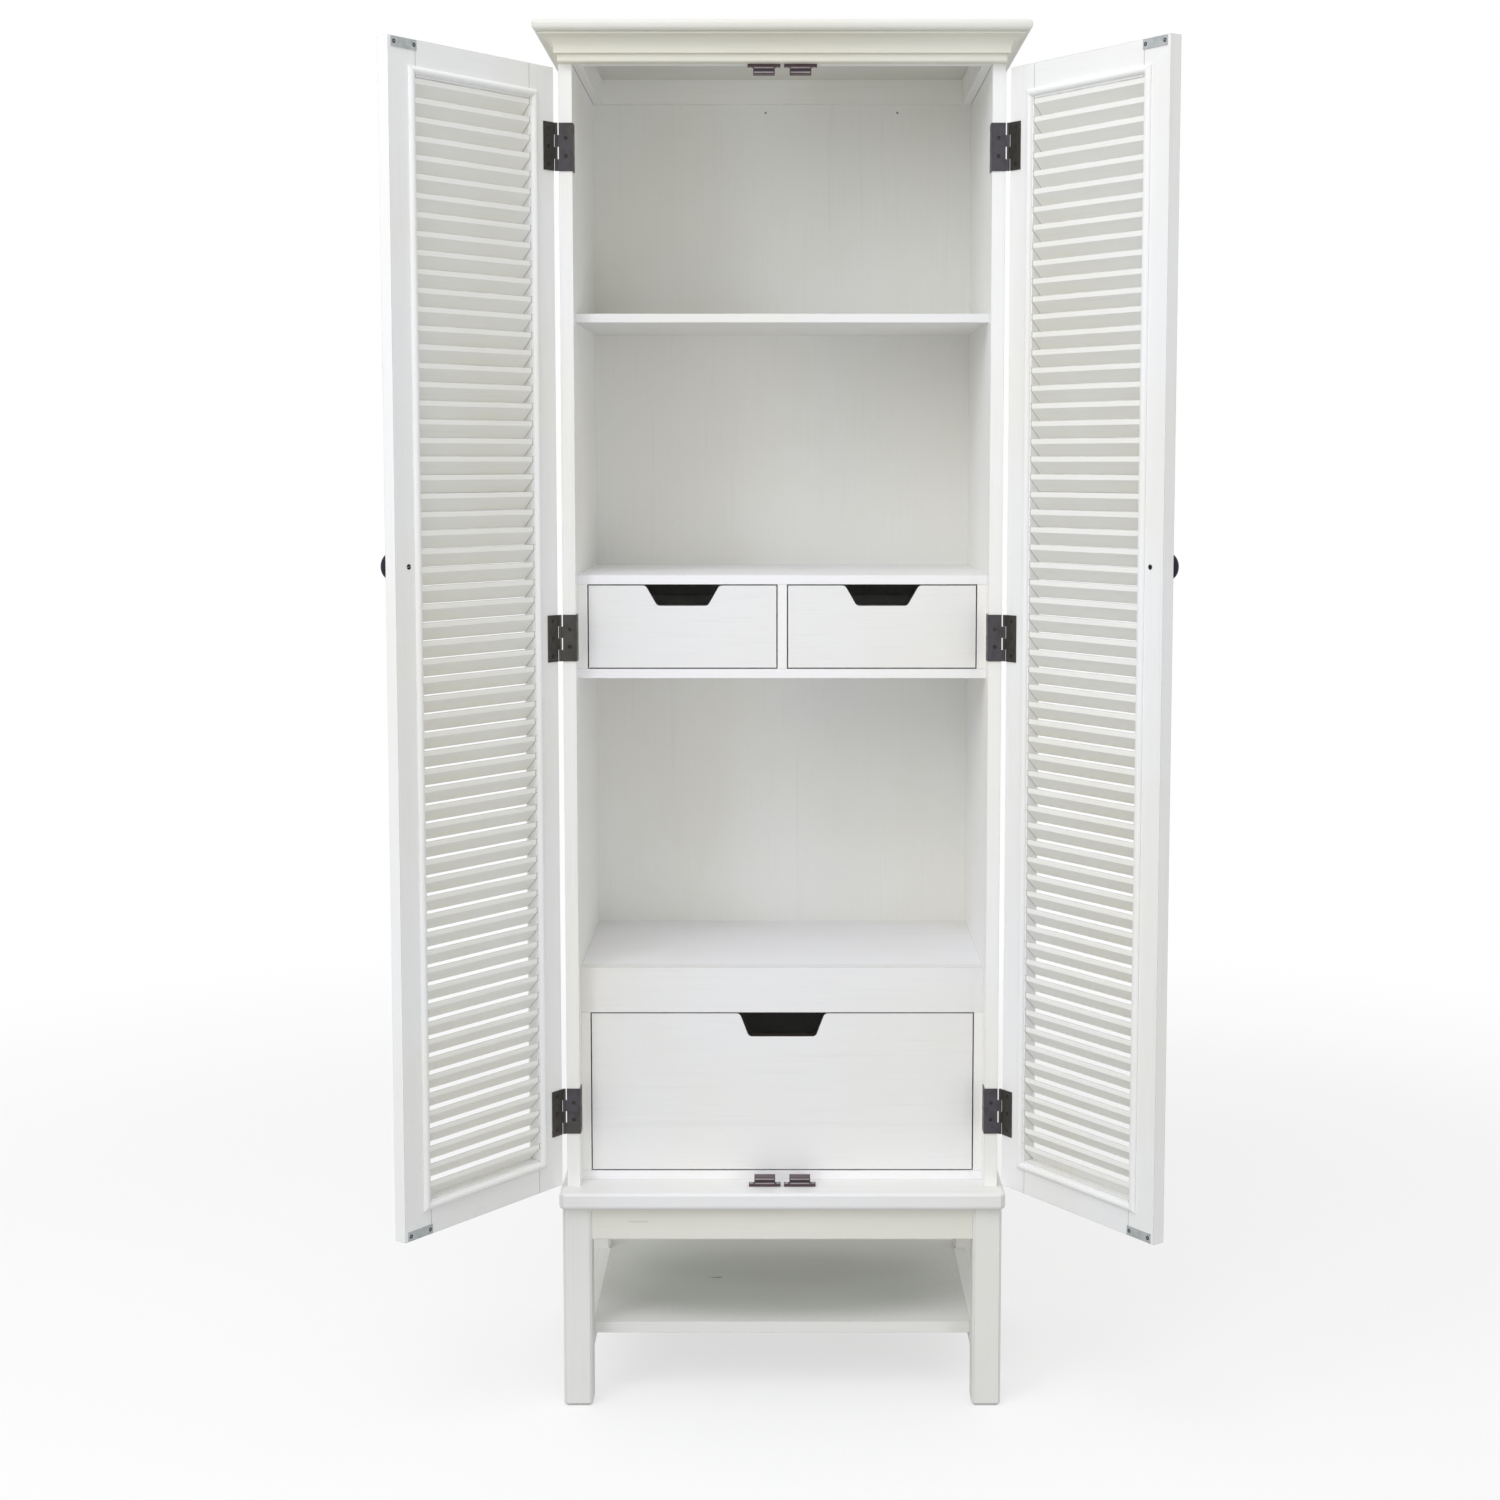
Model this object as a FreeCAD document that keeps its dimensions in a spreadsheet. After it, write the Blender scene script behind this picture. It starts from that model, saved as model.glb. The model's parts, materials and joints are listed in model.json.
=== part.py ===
import FreeCAD, Part
import math
import os
import Sketcher

# A tall narrow cabinet on four square legs. Two louvred doors, shown swung open, hang on
# wrap-around butt hinges; inside are a fixed shelf and three drawers in two inner cases.
# Millimetres. +Z is up, -Y is the front. The origin is on the floor, midway between the
# back of the cabinet and the free edges of the open doors.

doc = FreeCAD.newDocument("louvred_cabinet")
sheet = doc.addObject("Spreadsheet::Sheet", "Dimensions")


# ---------------------------------------------------------------- sizes and formulas

class Formula:
    """A size: its number now, and the text that binds it to the sheet."""

    def __init__(self, text, number):
        self.text = text
        self.number = number

    def __add__(self, other):
        other = formula(other)
        return Formula(f"({self.text} + {other.text})", self.number + other.number)

    def __sub__(self, other):
        other = formula(other)
        return Formula(f"({self.text} - {other.text})", self.number - other.number)

    def __mul__(self, other):
        other = formula(other)
        return Formula(f"({self.text} * {other.text})", self.number * other.number)

    def __truediv__(self, other):
        other = formula(other)
        return Formula(f"({self.text} / {other.text})", self.number / other.number)

    def __neg__(self):
        return Formula(f"(0 - {self.text})", -self.number)

    def __radd__(self, other):
        return formula(other) + self

    def __rsub__(self, other):
        return formula(other) - self

    def __rmul__(self, other):
        return formula(other) * self


def formula(value):
    """Any number or Formula as a Formula."""
    if isinstance(value, Formula):
        return value
    return Formula(repr(float(value)), float(value))


def sine(angle):
    return Formula(f"sin({angle.text} * 1 deg)", math.sin(math.radians(angle.number)))


def tangent(angle):
    return Formula(f"tan({angle.text} * 1 deg)", math.tan(math.radians(angle.number)))


sheet_rows = []


def cell(name, content):
    """Write one row of the sheet: the name in column A, the content in column B."""
    sheet_rows.append(name)
    row = len(sheet_rows)
    sheet.set(f"A{row}", name)
    sheet.set(f"B{row}", content)
    sheet.setAlias(f"B{row}", name)


def size(name, value):
    """A driving dimension: a plain number in the sheet."""
    cell(name, str(value))
    return Formula(f"Dimensions.{name}", float(value))


def derived(name, value):
    """A size worked out from others, kept in the sheet as its formula."""
    cell(name, "=" + value.text.replace("Dimensions.", ""))
    return Formula(f"Dimensions.{name}", value.number)


# How far a cutting outline runs past the face it cuts
cut_overrun = size("cut_overrun", 1)

# Carcass
overall_height = size("overall_height", 1900)
body_width = size("body_width", 600)
body_depth = size("body_depth", 360)
side_thickness = size("side_thickness", 18)
back_thickness = size("back_thickness", 6)

# Cap board and crown
cap_thickness = size("cap_thickness", 15)
cap_side_overhang = size("cap_side_overhang", 30)
cap_front_overhang = size("cap_front_overhang", 47)
cap_round = size("cap_round", 6.5)
top_rail_height = size("top_rail_height", 36)
front_rail_thickness = size("front_rail_thickness", 18)
back_rail_thickness = size("back_rail_thickness", 12)
cleat_thickness = size("cleat_thickness", 14)
backer_thickness = size("backer_thickness", 15)
backer_ease = size("backer_ease", 3)
cove_height = size("cove_height", 25)
cove_radius = size("cove_radius", 18.6)
cove_nose_depth = size("cove_nose_depth", 5)
cove_nose_height = size("cove_nose_height", 3.4)

# Stand
stand_height = size("stand_height", 309)
base_top_thickness = size("base_top_thickness", 24)
base_side_overhang = size("base_side_overhang", 9)
base_front_overhang = size("base_front_overhang", 33)
base_top_round = size("base_top_round", 4)
base_under_round = size("base_under_round", 7)
base_corner_bevel = size("base_corner_bevel", 6)
leg_width = size("leg_width", 40)
leg_outset = size("leg_outset", 5.3)
leg_forward = size("leg_forward", 20)
leg_bevel = size("leg_bevel", 3)
foot_bevel = size("foot_bevel", 4.5)
apron_height = size("apron_height", 45)
apron_thickness = size("apron_thickness", 18)
apron_setback = size("apron_setback", 3)
low_shelf_height = size("low_shelf_height", 107)
low_shelf_thickness = size("low_shelf_thickness", 16)
shelf_rail_width = size("shelf_rail_width", 18)
shelf_rail_height = size("shelf_rail_height", 32)

# Shelf and inner cases
case_setback = size("case_setback", 32)
case_board = size("case_board", 13)
shelf_underside = size("shelf_underside", 1508)
shelf_thickness = size("shelf_thickness", 12)
upper_case_bottom_z = size("upper_case_bottom_z", 1020)
small_opening_height = size("small_opening_height", 117)
large_opening_height = size("large_opening_height", 227)
fascia_height = size("fascia_height", 64)
fascia_thickness = size("fascia_thickness", 18)

# Drawers
drawer_gap = size("drawer_gap", 1.5)
drawer_front_setback = size("drawer_front_setback", 1)
drawer_front_thickness = size("drawer_front_thickness", 16)
drawer_side_thickness = size("drawer_side_thickness", 10)
drawer_bottom_thickness = size("drawer_bottom_thickness", 5)
drawer_bottom_rise = size("drawer_bottom_rise", 8)
drawer_side_gap = size("drawer_side_gap", 2)
drawer_running_gap = size("drawer_running_gap", 0.3)
drawer_back_gap = size("drawer_back_gap", 21)
box_below_grip = size("box_below_grip", 2.5)
small_grip_top = size("small_grip_top", 102)
small_grip_bottom = size("small_grip_bottom", 70)
small_grip_depth = size("small_grip_depth", 28)
large_grip_top = size("large_grip_top", 119)
large_grip_bottom = size("large_grip_bottom", 94)
large_grip_depth = size("large_grip_depth", 33)
grip_round = size("grip_round", 7)

# Doors
door_thickness = size("door_thickness", 18)
door_meeting_gap = size("door_meeting_gap", 3)
door_face_gap = size("door_face_gap", 3)
door_top_clearance = size("door_top_clearance", 5.5)
door_bottom_clearance = size("door_bottom_clearance", 4)
door_left_angle = size("door_left_angle", 127)
door_right_angle = size("door_right_angle", 125)
stile_width = size("stile_width", 46)
rail_height = size("rail_height", 46)
slat_count = size("slat_count", 61)
slat_slope_angle = size("slat_slope_angle", 46)
slat_nose = size("slat_nose", 7.3)
slat_outer_recess = size("slat_outer_recess", 2)
slat_end_gap = size("slat_end_gap", 0.3)
slat_housing = size("slat_housing", 8)
slat_slack = size("slat_slack", 0.1)
bead_width = size("bead_width", 10)
bead_edge = size("bead_edge", 1.2)
bead_round = size("bead_round", 5.2)
bead_setback = size("bead_setback", 3)

# Hinges, knobs, strikes and catches
pin_offset = size("pin_offset", 3.5)
knuckle_radius = size("knuckle_radius", 2.1)
knuckle_gap = size("knuckle_gap", 0.3)
leaf_thickness = size("leaf_thickness", 1.3)
leaf_relief = size("leaf_relief", 0.4)
hinge_height = size("hinge_height", 64)
hinge_inset = size("hinge_inset", 104)
door_leaf_width = size("door_leaf_width", 20)
wrap_leaf_width = size("wrap_leaf_width", 22)
knob_height = size("knob_height", 1186)
knob_radius = size("knob_radius", 17)
knob_neck_radius = size("knob_neck_radius", 7)
knob_neck_height = size("knob_neck_height", 9)
knob_widest_at = size("knob_widest_at", 14)
knob_rim_height = size("knob_rim_height", 1.5)
knob_dome_height = size("knob_dome_height", 6.5)
strike_length = size("strike_length", 43)
strike_height = size("strike_height", 12.5)
strike_thickness = size("strike_thickness", 1)
strike_edge_gap = size("strike_edge_gap", 0.5)
strike_inset = size("strike_inset", 5)
catch_centre = size("catch_centre", 24.5)
catch_body_width = size("catch_body_width", 29)
catch_body_height = size("catch_body_height", 13)
catch_body_depth = size("catch_body_depth", 16)
catch_ear_span = size("catch_ear_span", 44)
catch_ear_height = size("catch_ear_height", 4)
catch_ear_depth = size("catch_ear_depth", 9)
catch_wall = size("catch_wall", 1.2)
pole_thickness = size("pole_thickness", 1.5)
pole_spacing = size("pole_spacing", 6)
pole_depth = size("pole_depth", 12)
pole_stand_out = size("pole_stand_out", 1)
magnet_setback = size("magnet_setback", 1.5)
catch_air_gap = size("catch_air_gap", 0.3)

# Levels and lines shared by several pieces
half_body = derived("half_body", body_width / 2)
inner_half = derived("inner_half", half_body - side_thickness)
carcass_top = derived("carcass_top", overall_height - cap_thickness)
rail_bottom = derived("rail_bottom", carcass_top - top_rail_height)
inner_depth = derived("inner_depth", body_depth - back_thickness)
case_depth = derived("case_depth", inner_depth - case_setback)
leg_half = derived("leg_half", half_body + leg_outset)
leg_inner = derived("leg_inner", leg_half - leg_width)
leg_top = derived("leg_top", stand_height - base_top_thickness)
upper_inside_z = derived("upper_inside_z", upper_case_bottom_z + case_board)
upper_top_z = derived("upper_top_z", upper_inside_z + small_opening_height)
lower_inside_z = derived("lower_inside_z", stand_height + case_board)
fascia_bottom = derived("fascia_bottom", lower_inside_z + large_opening_height)
lower_top_z = derived("lower_top_z", fascia_bottom + fascia_height)
opening_half = derived("opening_half", inner_half - case_board)
drawer_depth = derived("drawer_depth", case_depth - drawer_front_setback - drawer_back_gap)
door_width = derived("door_width", (body_width - door_meeting_gap) / 2)
door_bottom = derived("door_bottom", stand_height + door_bottom_clearance)
door_top = derived("door_top", rail_bottom - door_top_clearance)
door_height = derived("door_height", door_top - door_bottom)
louvre_bottom = derived("louvre_bottom", door_bottom + rail_height)
louvre_top = derived("louvre_top", door_top - rail_height)
louvre_width = derived("louvre_width", door_width - 2 * stile_width)
louvre_height = derived("louvre_height", louvre_top - louvre_bottom)
slat_depth = derived("slat_depth", door_thickness - slat_outer_recess)
slat_drop = derived("slat_drop", slat_depth * tangent(slat_slope_angle))
slat_run = derived("slat_run", louvre_height - 2 * slat_end_gap - slat_nose - slat_drop)
slat_pitch = derived("slat_pitch", slat_run / (slat_count - 1))
pin_x = derived("pin_x", half_body + pin_offset)
door_reach = derived("door_reach", (pin_offset + door_width) * sine(door_right_angle))
front_y = derived("front_y", (door_reach + door_face_gap / 2 - body_depth) / 2)
pin_y = derived("pin_y", front_y - door_face_gap / 2)
door_face_v = derived("door_face_v", -door_face_gap / 2)
door_outer_v = derived("door_outer_v", door_face_v - door_thickness)
knob_dome_radius = derived(
    "knob_dome_radius",
    (knob_radius * knob_radius / knob_dome_height + knob_dome_height) / 2,
)
hinge_low = derived("hinge_low", door_bottom + hinge_inset)
hinge_high = derived("hinge_high", door_top - hinge_inset)
hinge_middle = derived("hinge_middle", (door_bottom + door_top) / 2)
doc.recompute()


# ---------------------------------------------------------------- helpers

def bind(thing, prop, value):
    """Tie one property of an object to a formula of the sheet."""
    thing.setExpression(prop, formula(value).text)


def place(thing, x=0, y=0, z=0):
    """Tie an object's position to formulas."""
    bind(thing, "Placement.Base.x", x)
    bind(thing, "Placement.Base.y", y)
    bind(thing, "Placement.Base.z", z)


def box(name, corner, lengths):
    """A rectangular piece: its lowest corner and its three lengths, all formulas."""
    piece = doc.addObject("Part::Box", name)
    bind(piece, "Length", lengths[0])
    bind(piece, "Width", lengths[1])
    bind(piece, "Height", lengths[2])
    place(piece, *corner)
    return piece


def centred(name, width, y, z, depth, height):
    """A rectangular piece that is centred on X."""
    return box(name, (-width / 2, y, z), (width, depth, height))


def cylinder(name, radius, length, x, y, z):
    """An upright round piece on its axis."""
    piece = doc.addObject("Part::Cylinder", name)
    bind(piece, "Radius", radius)
    bind(piece, "Height", length)
    place(piece, x, y, z)
    return piece


def group(name, pieces):
    """Several separate solids that make one node."""
    node = doc.addObject("Part::Compound", name)
    node.Links = pieces
    return node


def fuse(name, pieces):
    node = doc.addObject("Part::MultiFuse", name)
    node.Shapes = pieces
    node.Refine = True
    return node


def cut(name, base, tool):
    node = doc.addObject("Part::Cut", name)
    node.Base = base
    node.Tool = tool
    return node


def new_body(name):
    body = doc.addObject("PartDesign::Body", name)
    body.AllowCompound = True
    return body


def new_sketch(body, name, role, offset=0):
    """A sketch on one of the body's own origin planes, moved along the plane's normal."""
    sketch = body.newObject("Sketcher::SketchObject", name)
    plane = [item for item in body.Origin.OriginFeatures if item.Role == role][0]
    sketch.AttachmentSupport = [(plane, "")]
    sketch.MapMode = "FlatFace"
    bind(sketch, "AttachmentOffset.Base.z", offset)
    return sketch


def pin_point(sketch, geometry, vertex, point):
    """Hold one vertex of a sketch at its two coordinates."""
    for kind, value in (("DistanceX", point[0]), ("DistanceY", point[1])):
        value = formula(value)
        rule = Sketcher.Constraint(kind, -1, 1, geometry, vertex, value.number)
        index = sketch.addConstraint(rule)
        sketch.setExpression(f"Constraints[{index}]", value.text)


def outline(sketch, points, arcs=None):
    """A closed outline through points. arcs gives, for the side that starts at a point,
    its radius and whether it turns clockwise."""
    arcs = arcs or {}
    spots = [FreeCAD.Vector(formula(p[0]).number, formula(p[1]).number, 0) for p in points]
    count = len(points)
    starts = []
    for index in range(count):
        here = spots[index]
        there = spots[(index + 1) % count]
        if index in arcs:
            radius, clockwise = arcs[index]
            sketch.addGeometry(arc_between(here, there, radius.number, clockwise), False)
            starts.append((index, 2 if clockwise else 1, 1 if clockwise else 2))
        else:
            sketch.addGeometry(Part.LineSegment(here, there), False)
            starts.append((index, 1, 2))
    for index in range(count):
        ending = starts[index]
        starting = starts[(index + 1) % count]
        sketch.addConstraint(
            Sketcher.Constraint("Coincident", ending[0], ending[2], starting[0], starting[1])
        )
    for index, point in enumerate(points):
        pin_point(sketch, starts[index][0], starts[index][1], point)
    for index, (radius, clockwise) in arcs.items():
        rule = sketch.addConstraint(Sketcher.Constraint("Radius", index, radius.number))
        sketch.setExpression(f"Constraints[{rule}]", radius.text)


def arc_between(start, end, radius, clockwise):
    """The shorter arc of a circle from start to end."""
    middle = (start + end) / 2
    half_chord = (end - start).Length / 2
    rise = math.sqrt(max(radius ** 2 - half_chord ** 2, 0))
    along = (end - start).normalize()
    left = FreeCAD.Vector(-along.y, along.x, 0)
    centre = middle + left * (-rise if clockwise else rise)
    circle = Part.Circle(centre, FreeCAD.Vector(0, 0, 1), radius)
    first, last = (end, start) if clockwise else (start, end)
    return Part.ArcOfCircle(circle, circle.parameter(first), circle.parameter(last))


def pad(body, sketch, name, length, midplane=False, backwards=False):
    feature = body.newObject("PartDesign::Pad", name)
    feature.Profile = sketch
    bind(feature, "Length", length)
    feature.Midplane = midplane
    feature.Reversed = backwards
    body.Tip = feature
    return feature


def pocket(body, sketch, name, length, midplane=False, backwards=False):
    """A pocket, which must take material away."""
    doc.recompute()
    before = body.Shape.Volume
    feature = body.newObject("PartDesign::Pocket", name)
    feature.Profile = sketch
    bind(feature, "Length", length)
    feature.Midplane = midplane
    feature.Reversed = backwards
    body.Tip = feature
    doc.recompute()
    if body.Shape.Volume >= before:
        raise ValueError(f"{name} cuts nothing")
    return feature


def repeat_upwards(body, feature, name, step, count):
    """Copies of a feature, one above another."""
    pattern = body.newObject("PartDesign::LinearPattern", name)
    pattern.Originals = [feature]
    axis = [item for item in body.Origin.OriginFeatures if item.Role == "Z_Axis"][0]
    pattern.Direction = (axis, [""])
    bind(pattern, "Length", step * (count - 1))
    bind(pattern, "Occurrences", count)
    body.Tip = pattern
    return pattern


def round_edges(body, name, radius, wanted):
    """Fillet the edges of a body that pass the test."""
    doc.recompute()
    base = body.Tip
    names = [f"Edge{i + 1}" for i, edge in enumerate(base.Shape.Edges) if wanted(edge)]
    feature = body.newObject("PartDesign::Fillet", name)
    feature.Base = (base, names)
    bind(feature, "Radius", radius)
    body.Tip = feature
    doc.recompute()
    return feature


def bevel_edges(body, name, reach, wanted):
    """Chamfer the edges of a body that pass the test."""
    doc.recompute()
    base = body.Tip
    names = [f"Edge{i + 1}" for i, edge in enumerate(base.Shape.Edges) if wanted(edge)]
    feature = body.newObject("PartDesign::Chamfer", name)
    feature.Base = (base, names)
    bind(feature, "Size", reach)
    body.Tip = feature
    doc.recompute()
    return feature


def edge_at(**where):
    """A test for edges whose whole length lies at the given x, y or z."""
    def test(edge):
        bounds = edge.BoundBox
        spans = {
            "x": (bounds.XMin, bounds.XMax),
            "y": (bounds.YMin, bounds.YMax),
            "z": (bounds.ZMin, bounds.ZMax),
        }
        for axis, value in where.items():
            low, high = spans[axis]
            if abs(low - value) > 0.01 or abs(high - value) > 0.01:
                return False
        return True
    return test


def either(*tests):
    return lambda edge: any(test(edge) for test in tests)


def rectangle(sketch, x0, y0, x1, y1):
    outline(sketch, [(x0, y0), (x1, y0), (x1, y1), (x0, y1)])


# Each side of the cabinet: its name, and +1 where x grows from the hinge to the middle
SIDES = (("left", 1), ("right", -1))
DOOR_ANGLES = {"left": -door_left_angle, "right": door_right_angle}

nodes = []


def node(piece, label):
    """Give a finished piece the name that its file gets."""
    piece.Label = label
    nodes.append(piece)
    return piece


def mirrored(turn, start, length):
    """The lowest x of a stretch that starts away from the hinge, on either side."""
    return start if turn > 0 else -(start + length)


def hang(label, side, pieces):
    """Join a door's pieces, drawn from its hinge pin, and swing them to the open angle."""
    name, turn = side
    door_piece = group(label, pieces)
    door_piece.Placement = FreeCAD.Placement(
        FreeCAD.Vector(0, 0, 0),
        FreeCAD.Rotation(FreeCAD.Vector(0, 0, 1), DOOR_ANGLES[name].number),
    )
    place(door_piece, -pin_x if turn > 0 else pin_x, pin_y, 0)
    bind(door_piece, "Placement.Rotation.Angle", DOOR_ANGLES[name])
    return node(door_piece, label)


# ---------------------------------------------------------------- carcass

def make_side_panels():
    for name, turn in SIDES:
        low_x = mirrored(turn, -half_body, side_thickness)
        board = box(
            f"side_board_{name}",
            (low_x, front_y, stand_height),
            (side_thickness, inner_depth, carcass_top - stand_height),
        )
        node(board, f"side_panel_{name}")


def make_back_and_top_frame():
    height = carcass_top - stand_height
    node(
        centred("back", body_width, front_y + inner_depth, stand_height, back_thickness, height),
        "back_panel",
    )
    inner_width = 2 * inner_half
    node(
        centred(
            "front_rail", inner_width, front_y, rail_bottom, front_rail_thickness, top_rail_height
        ),
        "top_rail_front",
    )
    node(
        centred(
            "back_rail",
            inner_width,
            front_y + inner_depth - back_rail_thickness,
            rail_bottom,
            back_rail_thickness,
            top_rail_height,
        ),
        "top_rail_back",
    )
    cleat_length = inner_depth - front_rail_thickness - back_rail_thickness
    cleats = []
    for name, turn in SIDES:
        corner_x = mirrored(turn, -inner_half, cleat_thickness)
        cleats.append(
            box(
                f"cleat_{name}",
                (corner_x, front_y + front_rail_thickness, rail_bottom),
                (cleat_thickness, cleat_length, top_rail_height),
            )
        )
    node(group("cleats", cleats), "top_cleats")
    node(
        centred(
            "shelf",
            inner_width,
            front_y + case_setback,
            shelf_underside,
            case_depth,
            shelf_thickness,
        ),
        "fixed_shelf",
    )


def make_cap_board():
    """The top board, with a bullnose along its front and side edges."""
    body = new_body("cap")
    half = half_body + cap_side_overhang
    sketch = new_sketch(body, "cap_plan", "XY_Plane")
    rectangle(sketch, -half, -cap_front_overhang, half, body_depth)
    pad(body, sketch, "cap_pad", cap_thickness)
    rims = []
    for level in (0, cap_thickness.number):
        rims.append(edge_at(y=-cap_front_overhang.number, z=level))
        rims.append(edge_at(x=half.number, z=level))
        rims.append(edge_at(x=-half.number, z=level))
    round_edges(body, "cap_bullnose", cap_round, either(*rims))
    place(body, 0, front_y, carcass_top)
    node(body, "cap_board")


def make_crown_backer():
    """The board in front of the carcass that carries the front moulding."""
    body = new_body("backer")
    sketch = new_sketch(body, "backer_section", "YZ_Plane")
    rectangle(sketch, -backer_thickness, 0, 0, top_rail_height)
    pad(body, sketch, "backer_pad", body_width, midplane=True)
    round_edges(
        body, "backer_ease", backer_ease, edge_at(y=-backer_thickness.number, z=0)
    )
    place(body, 0, front_y, rail_bottom)
    node(body, "crown_backer")


COVE_STANDS_OFF = cove_nose_depth + cove_radius


def cove_section(sketch, flip):
    """Section of the cove moulding: wall side at 0, nose below, cove, then a flat fillet.
    flip is +1 where the moulding projects towards growing sketch x, else -1."""
    points = [
        (0, 0),
        (flip * cove_nose_depth, 0),
        (flip * cove_nose_depth, cove_nose_height),
        (flip * COVE_STANDS_OFF, cove_nose_height + cove_radius),
        (flip * COVE_STANDS_OFF, cove_height),
        (0, cove_height),
    ]
    outline(sketch, points, {2: (cove_radius, flip > 0)})


def make_crown_mouldings():
    """Three lengths of cove moulding under the cap board, mitred at the front corners."""
    reach = COVE_STANDS_OFF
    past = reach + cut_overrun
    bottom = carcass_top - cove_height
    front_line = front_y - backer_thickness

    body = new_body("front_cove")
    section = new_sketch(body, "front_cove_section", "YZ_Plane")
    cove_section(section, -1)
    pad(body, section, "front_cove_pad", body_width + 2 * reach, midplane=True)
    for name, turn in SIDES:
        mitre = new_sketch(body, f"front_mitre_{name}", "XY_Plane")
        outline(
            mitre,
            [
                (-turn * half_body, 0),
                (-turn * (half_body + past), 0),
                (-turn * (half_body + past), -past),
            ],
        )
        pocket(body, mitre, f"front_mitre_cut_{name}", 2 * cove_height, midplane=True)
    place(body, 0, front_line, bottom)
    node(body, "crown_front")

    length = body_depth + backer_thickness + reach
    for name, turn in SIDES:
        body = new_body(f"side_cove_{name}")
        section = new_sketch(body, f"side_cove_section_{name}", "XZ_Plane")
        cove_section(section, -turn)
        pad(body, section, f"side_cove_pad_{name}", length)
        mitre = new_sketch(body, f"side_mitre_{name}", "XY_Plane")
        outline(
            mitre,
            [
                (0, reach - length),
                (-turn * past, -length - cut_overrun),
                (0, -length - cut_overrun),
            ],
        )
        pocket(body, mitre, f"side_mitre_cut_{name}", 2 * cove_height, midplane=True)
        place(body, -turn * half_body, front_y + body_depth, bottom)
        node(body, f"crown_{name}")


# ---------------------------------------------------------------- stand

def make_base_top():
    """The board between stand and carcass, with bevelled corners and rounded edges."""
    body = new_body("base_board")
    half = half_body + base_side_overhang
    sketch = new_sketch(body, "base_plan", "XY_Plane")
    rectangle(sketch, -half, -base_front_overhang, half, body_depth)
    pad(body, sketch, "base_pad", base_top_thickness)
    front = -base_front_overhang.number
    corners = either(edge_at(x=half.number, y=front), edge_at(x=-half.number, y=front))
    bevel_edges(body, "base_corners", base_corner_bevel, corners)
    back = body_depth.number

    def rim(level):
        level_test = edge_at(z=level)
        back_test = edge_at(y=back)
        return lambda edge: level_test(edge) and not back_test(edge)

    round_edges(body, "base_lower_rim", base_under_round, rim(0))
    round_edges(body, "base_upper_rim", base_top_round, rim(base_top_thickness.number))
    place(body, 0, front_y, leg_top)
    node(body, "base_top")


def make_legs():
    """Four square legs, bevelled along their length and at the foot."""
    rows = (("front", -leg_forward), ("back", body_depth - leg_width))
    for row, y in rows:
        for name, turn in SIDES:
            body = new_body(f"leg_body_{row}_{name}")
            sketch = new_sketch(body, f"leg_plan_{row}_{name}", "XY_Plane")
            rectangle(sketch, 0, 0, leg_width, leg_width)
            pad(body, sketch, f"leg_pad_{row}_{name}", leg_top)
            bevel_edges(
                body,
                f"leg_bevel_{row}_{name}",
                leg_bevel,
                lambda edge: edge.BoundBox.ZLength > 0.01,
            )
            bevel_edges(body, f"foot_bevel_{row}_{name}", foot_bevel, edge_at(z=0))
            place(body, mirrored(turn, -leg_half, leg_width), front_y + y, 0)
            node(body, f"leg_{row}_{name}")


def make_aprons():
    """Boards between the legs, just under the base top."""
    low = leg_top - apron_height
    width = 2 * leg_inner
    node(
        centred(
            "apron_f", width, front_y - leg_forward + apron_setback, low,
            apron_thickness, apron_height,
        ),
        "apron_front",
    )
    node(
        centred(
            "apron_b", width, front_y + body_depth - apron_setback - apron_thickness, low,
            apron_thickness, apron_height,
        ),
        "apron_back",
    )
    between = leg_forward + body_depth - 2 * leg_width
    behind_leg = front_y - leg_forward + leg_width
    aprons = []
    rails = []
    for name, turn in SIDES:
        x = mirrored(turn, -leg_half + apron_setback, apron_thickness)
        aprons.append(
            box(f"apron_{name}", (x, behind_leg, low), (apron_thickness, between, apron_height))
        )
        x = mirrored(turn, -leg_inner - shelf_rail_width, shelf_rail_width)
        rails.append(
            box(
                f"shelf_rail_{name}",
                (x, behind_leg, low_shelf_height - shelf_rail_height),
                (shelf_rail_width, between, shelf_rail_height),
            )
        )
    node(group("aprons", aprons), "side_aprons")
    node(group("rails", rails), "shelf_rails")
    node(
        centred(
            "low_shelf", width, behind_leg, low_shelf_height - low_shelf_thickness,
            between + leg_width, low_shelf_thickness,
        ),
        "lower_shelf",
    )


# ---------------------------------------------------------------- inner cases

def make_upper_case():
    """The box for the two small drawers."""
    front = front_y + case_setback
    width = 2 * inner_half
    node(
        centred("case_top", width, front, upper_top_z, case_depth, case_board),
        "upper_case_top",
    )
    node(
        centred("case_bottom", width, front, upper_case_bottom_z, case_depth, case_board),
        "upper_case_bottom",
    )
    node(
        centred(
            "divider", case_board, front, upper_inside_z, case_depth, small_opening_height
        ),
        "upper_case_divider",
    )
    sides = []
    for name, turn in SIDES:
        x = mirrored(turn, -inner_half, case_board)
        sides.append(
            box(
                f"case_side_{name}",
                (x, front, upper_inside_z),
                (case_board, case_depth, small_opening_height),
            )
        )
    node(group("case_sides", sides), "upper_case_sides")


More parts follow.
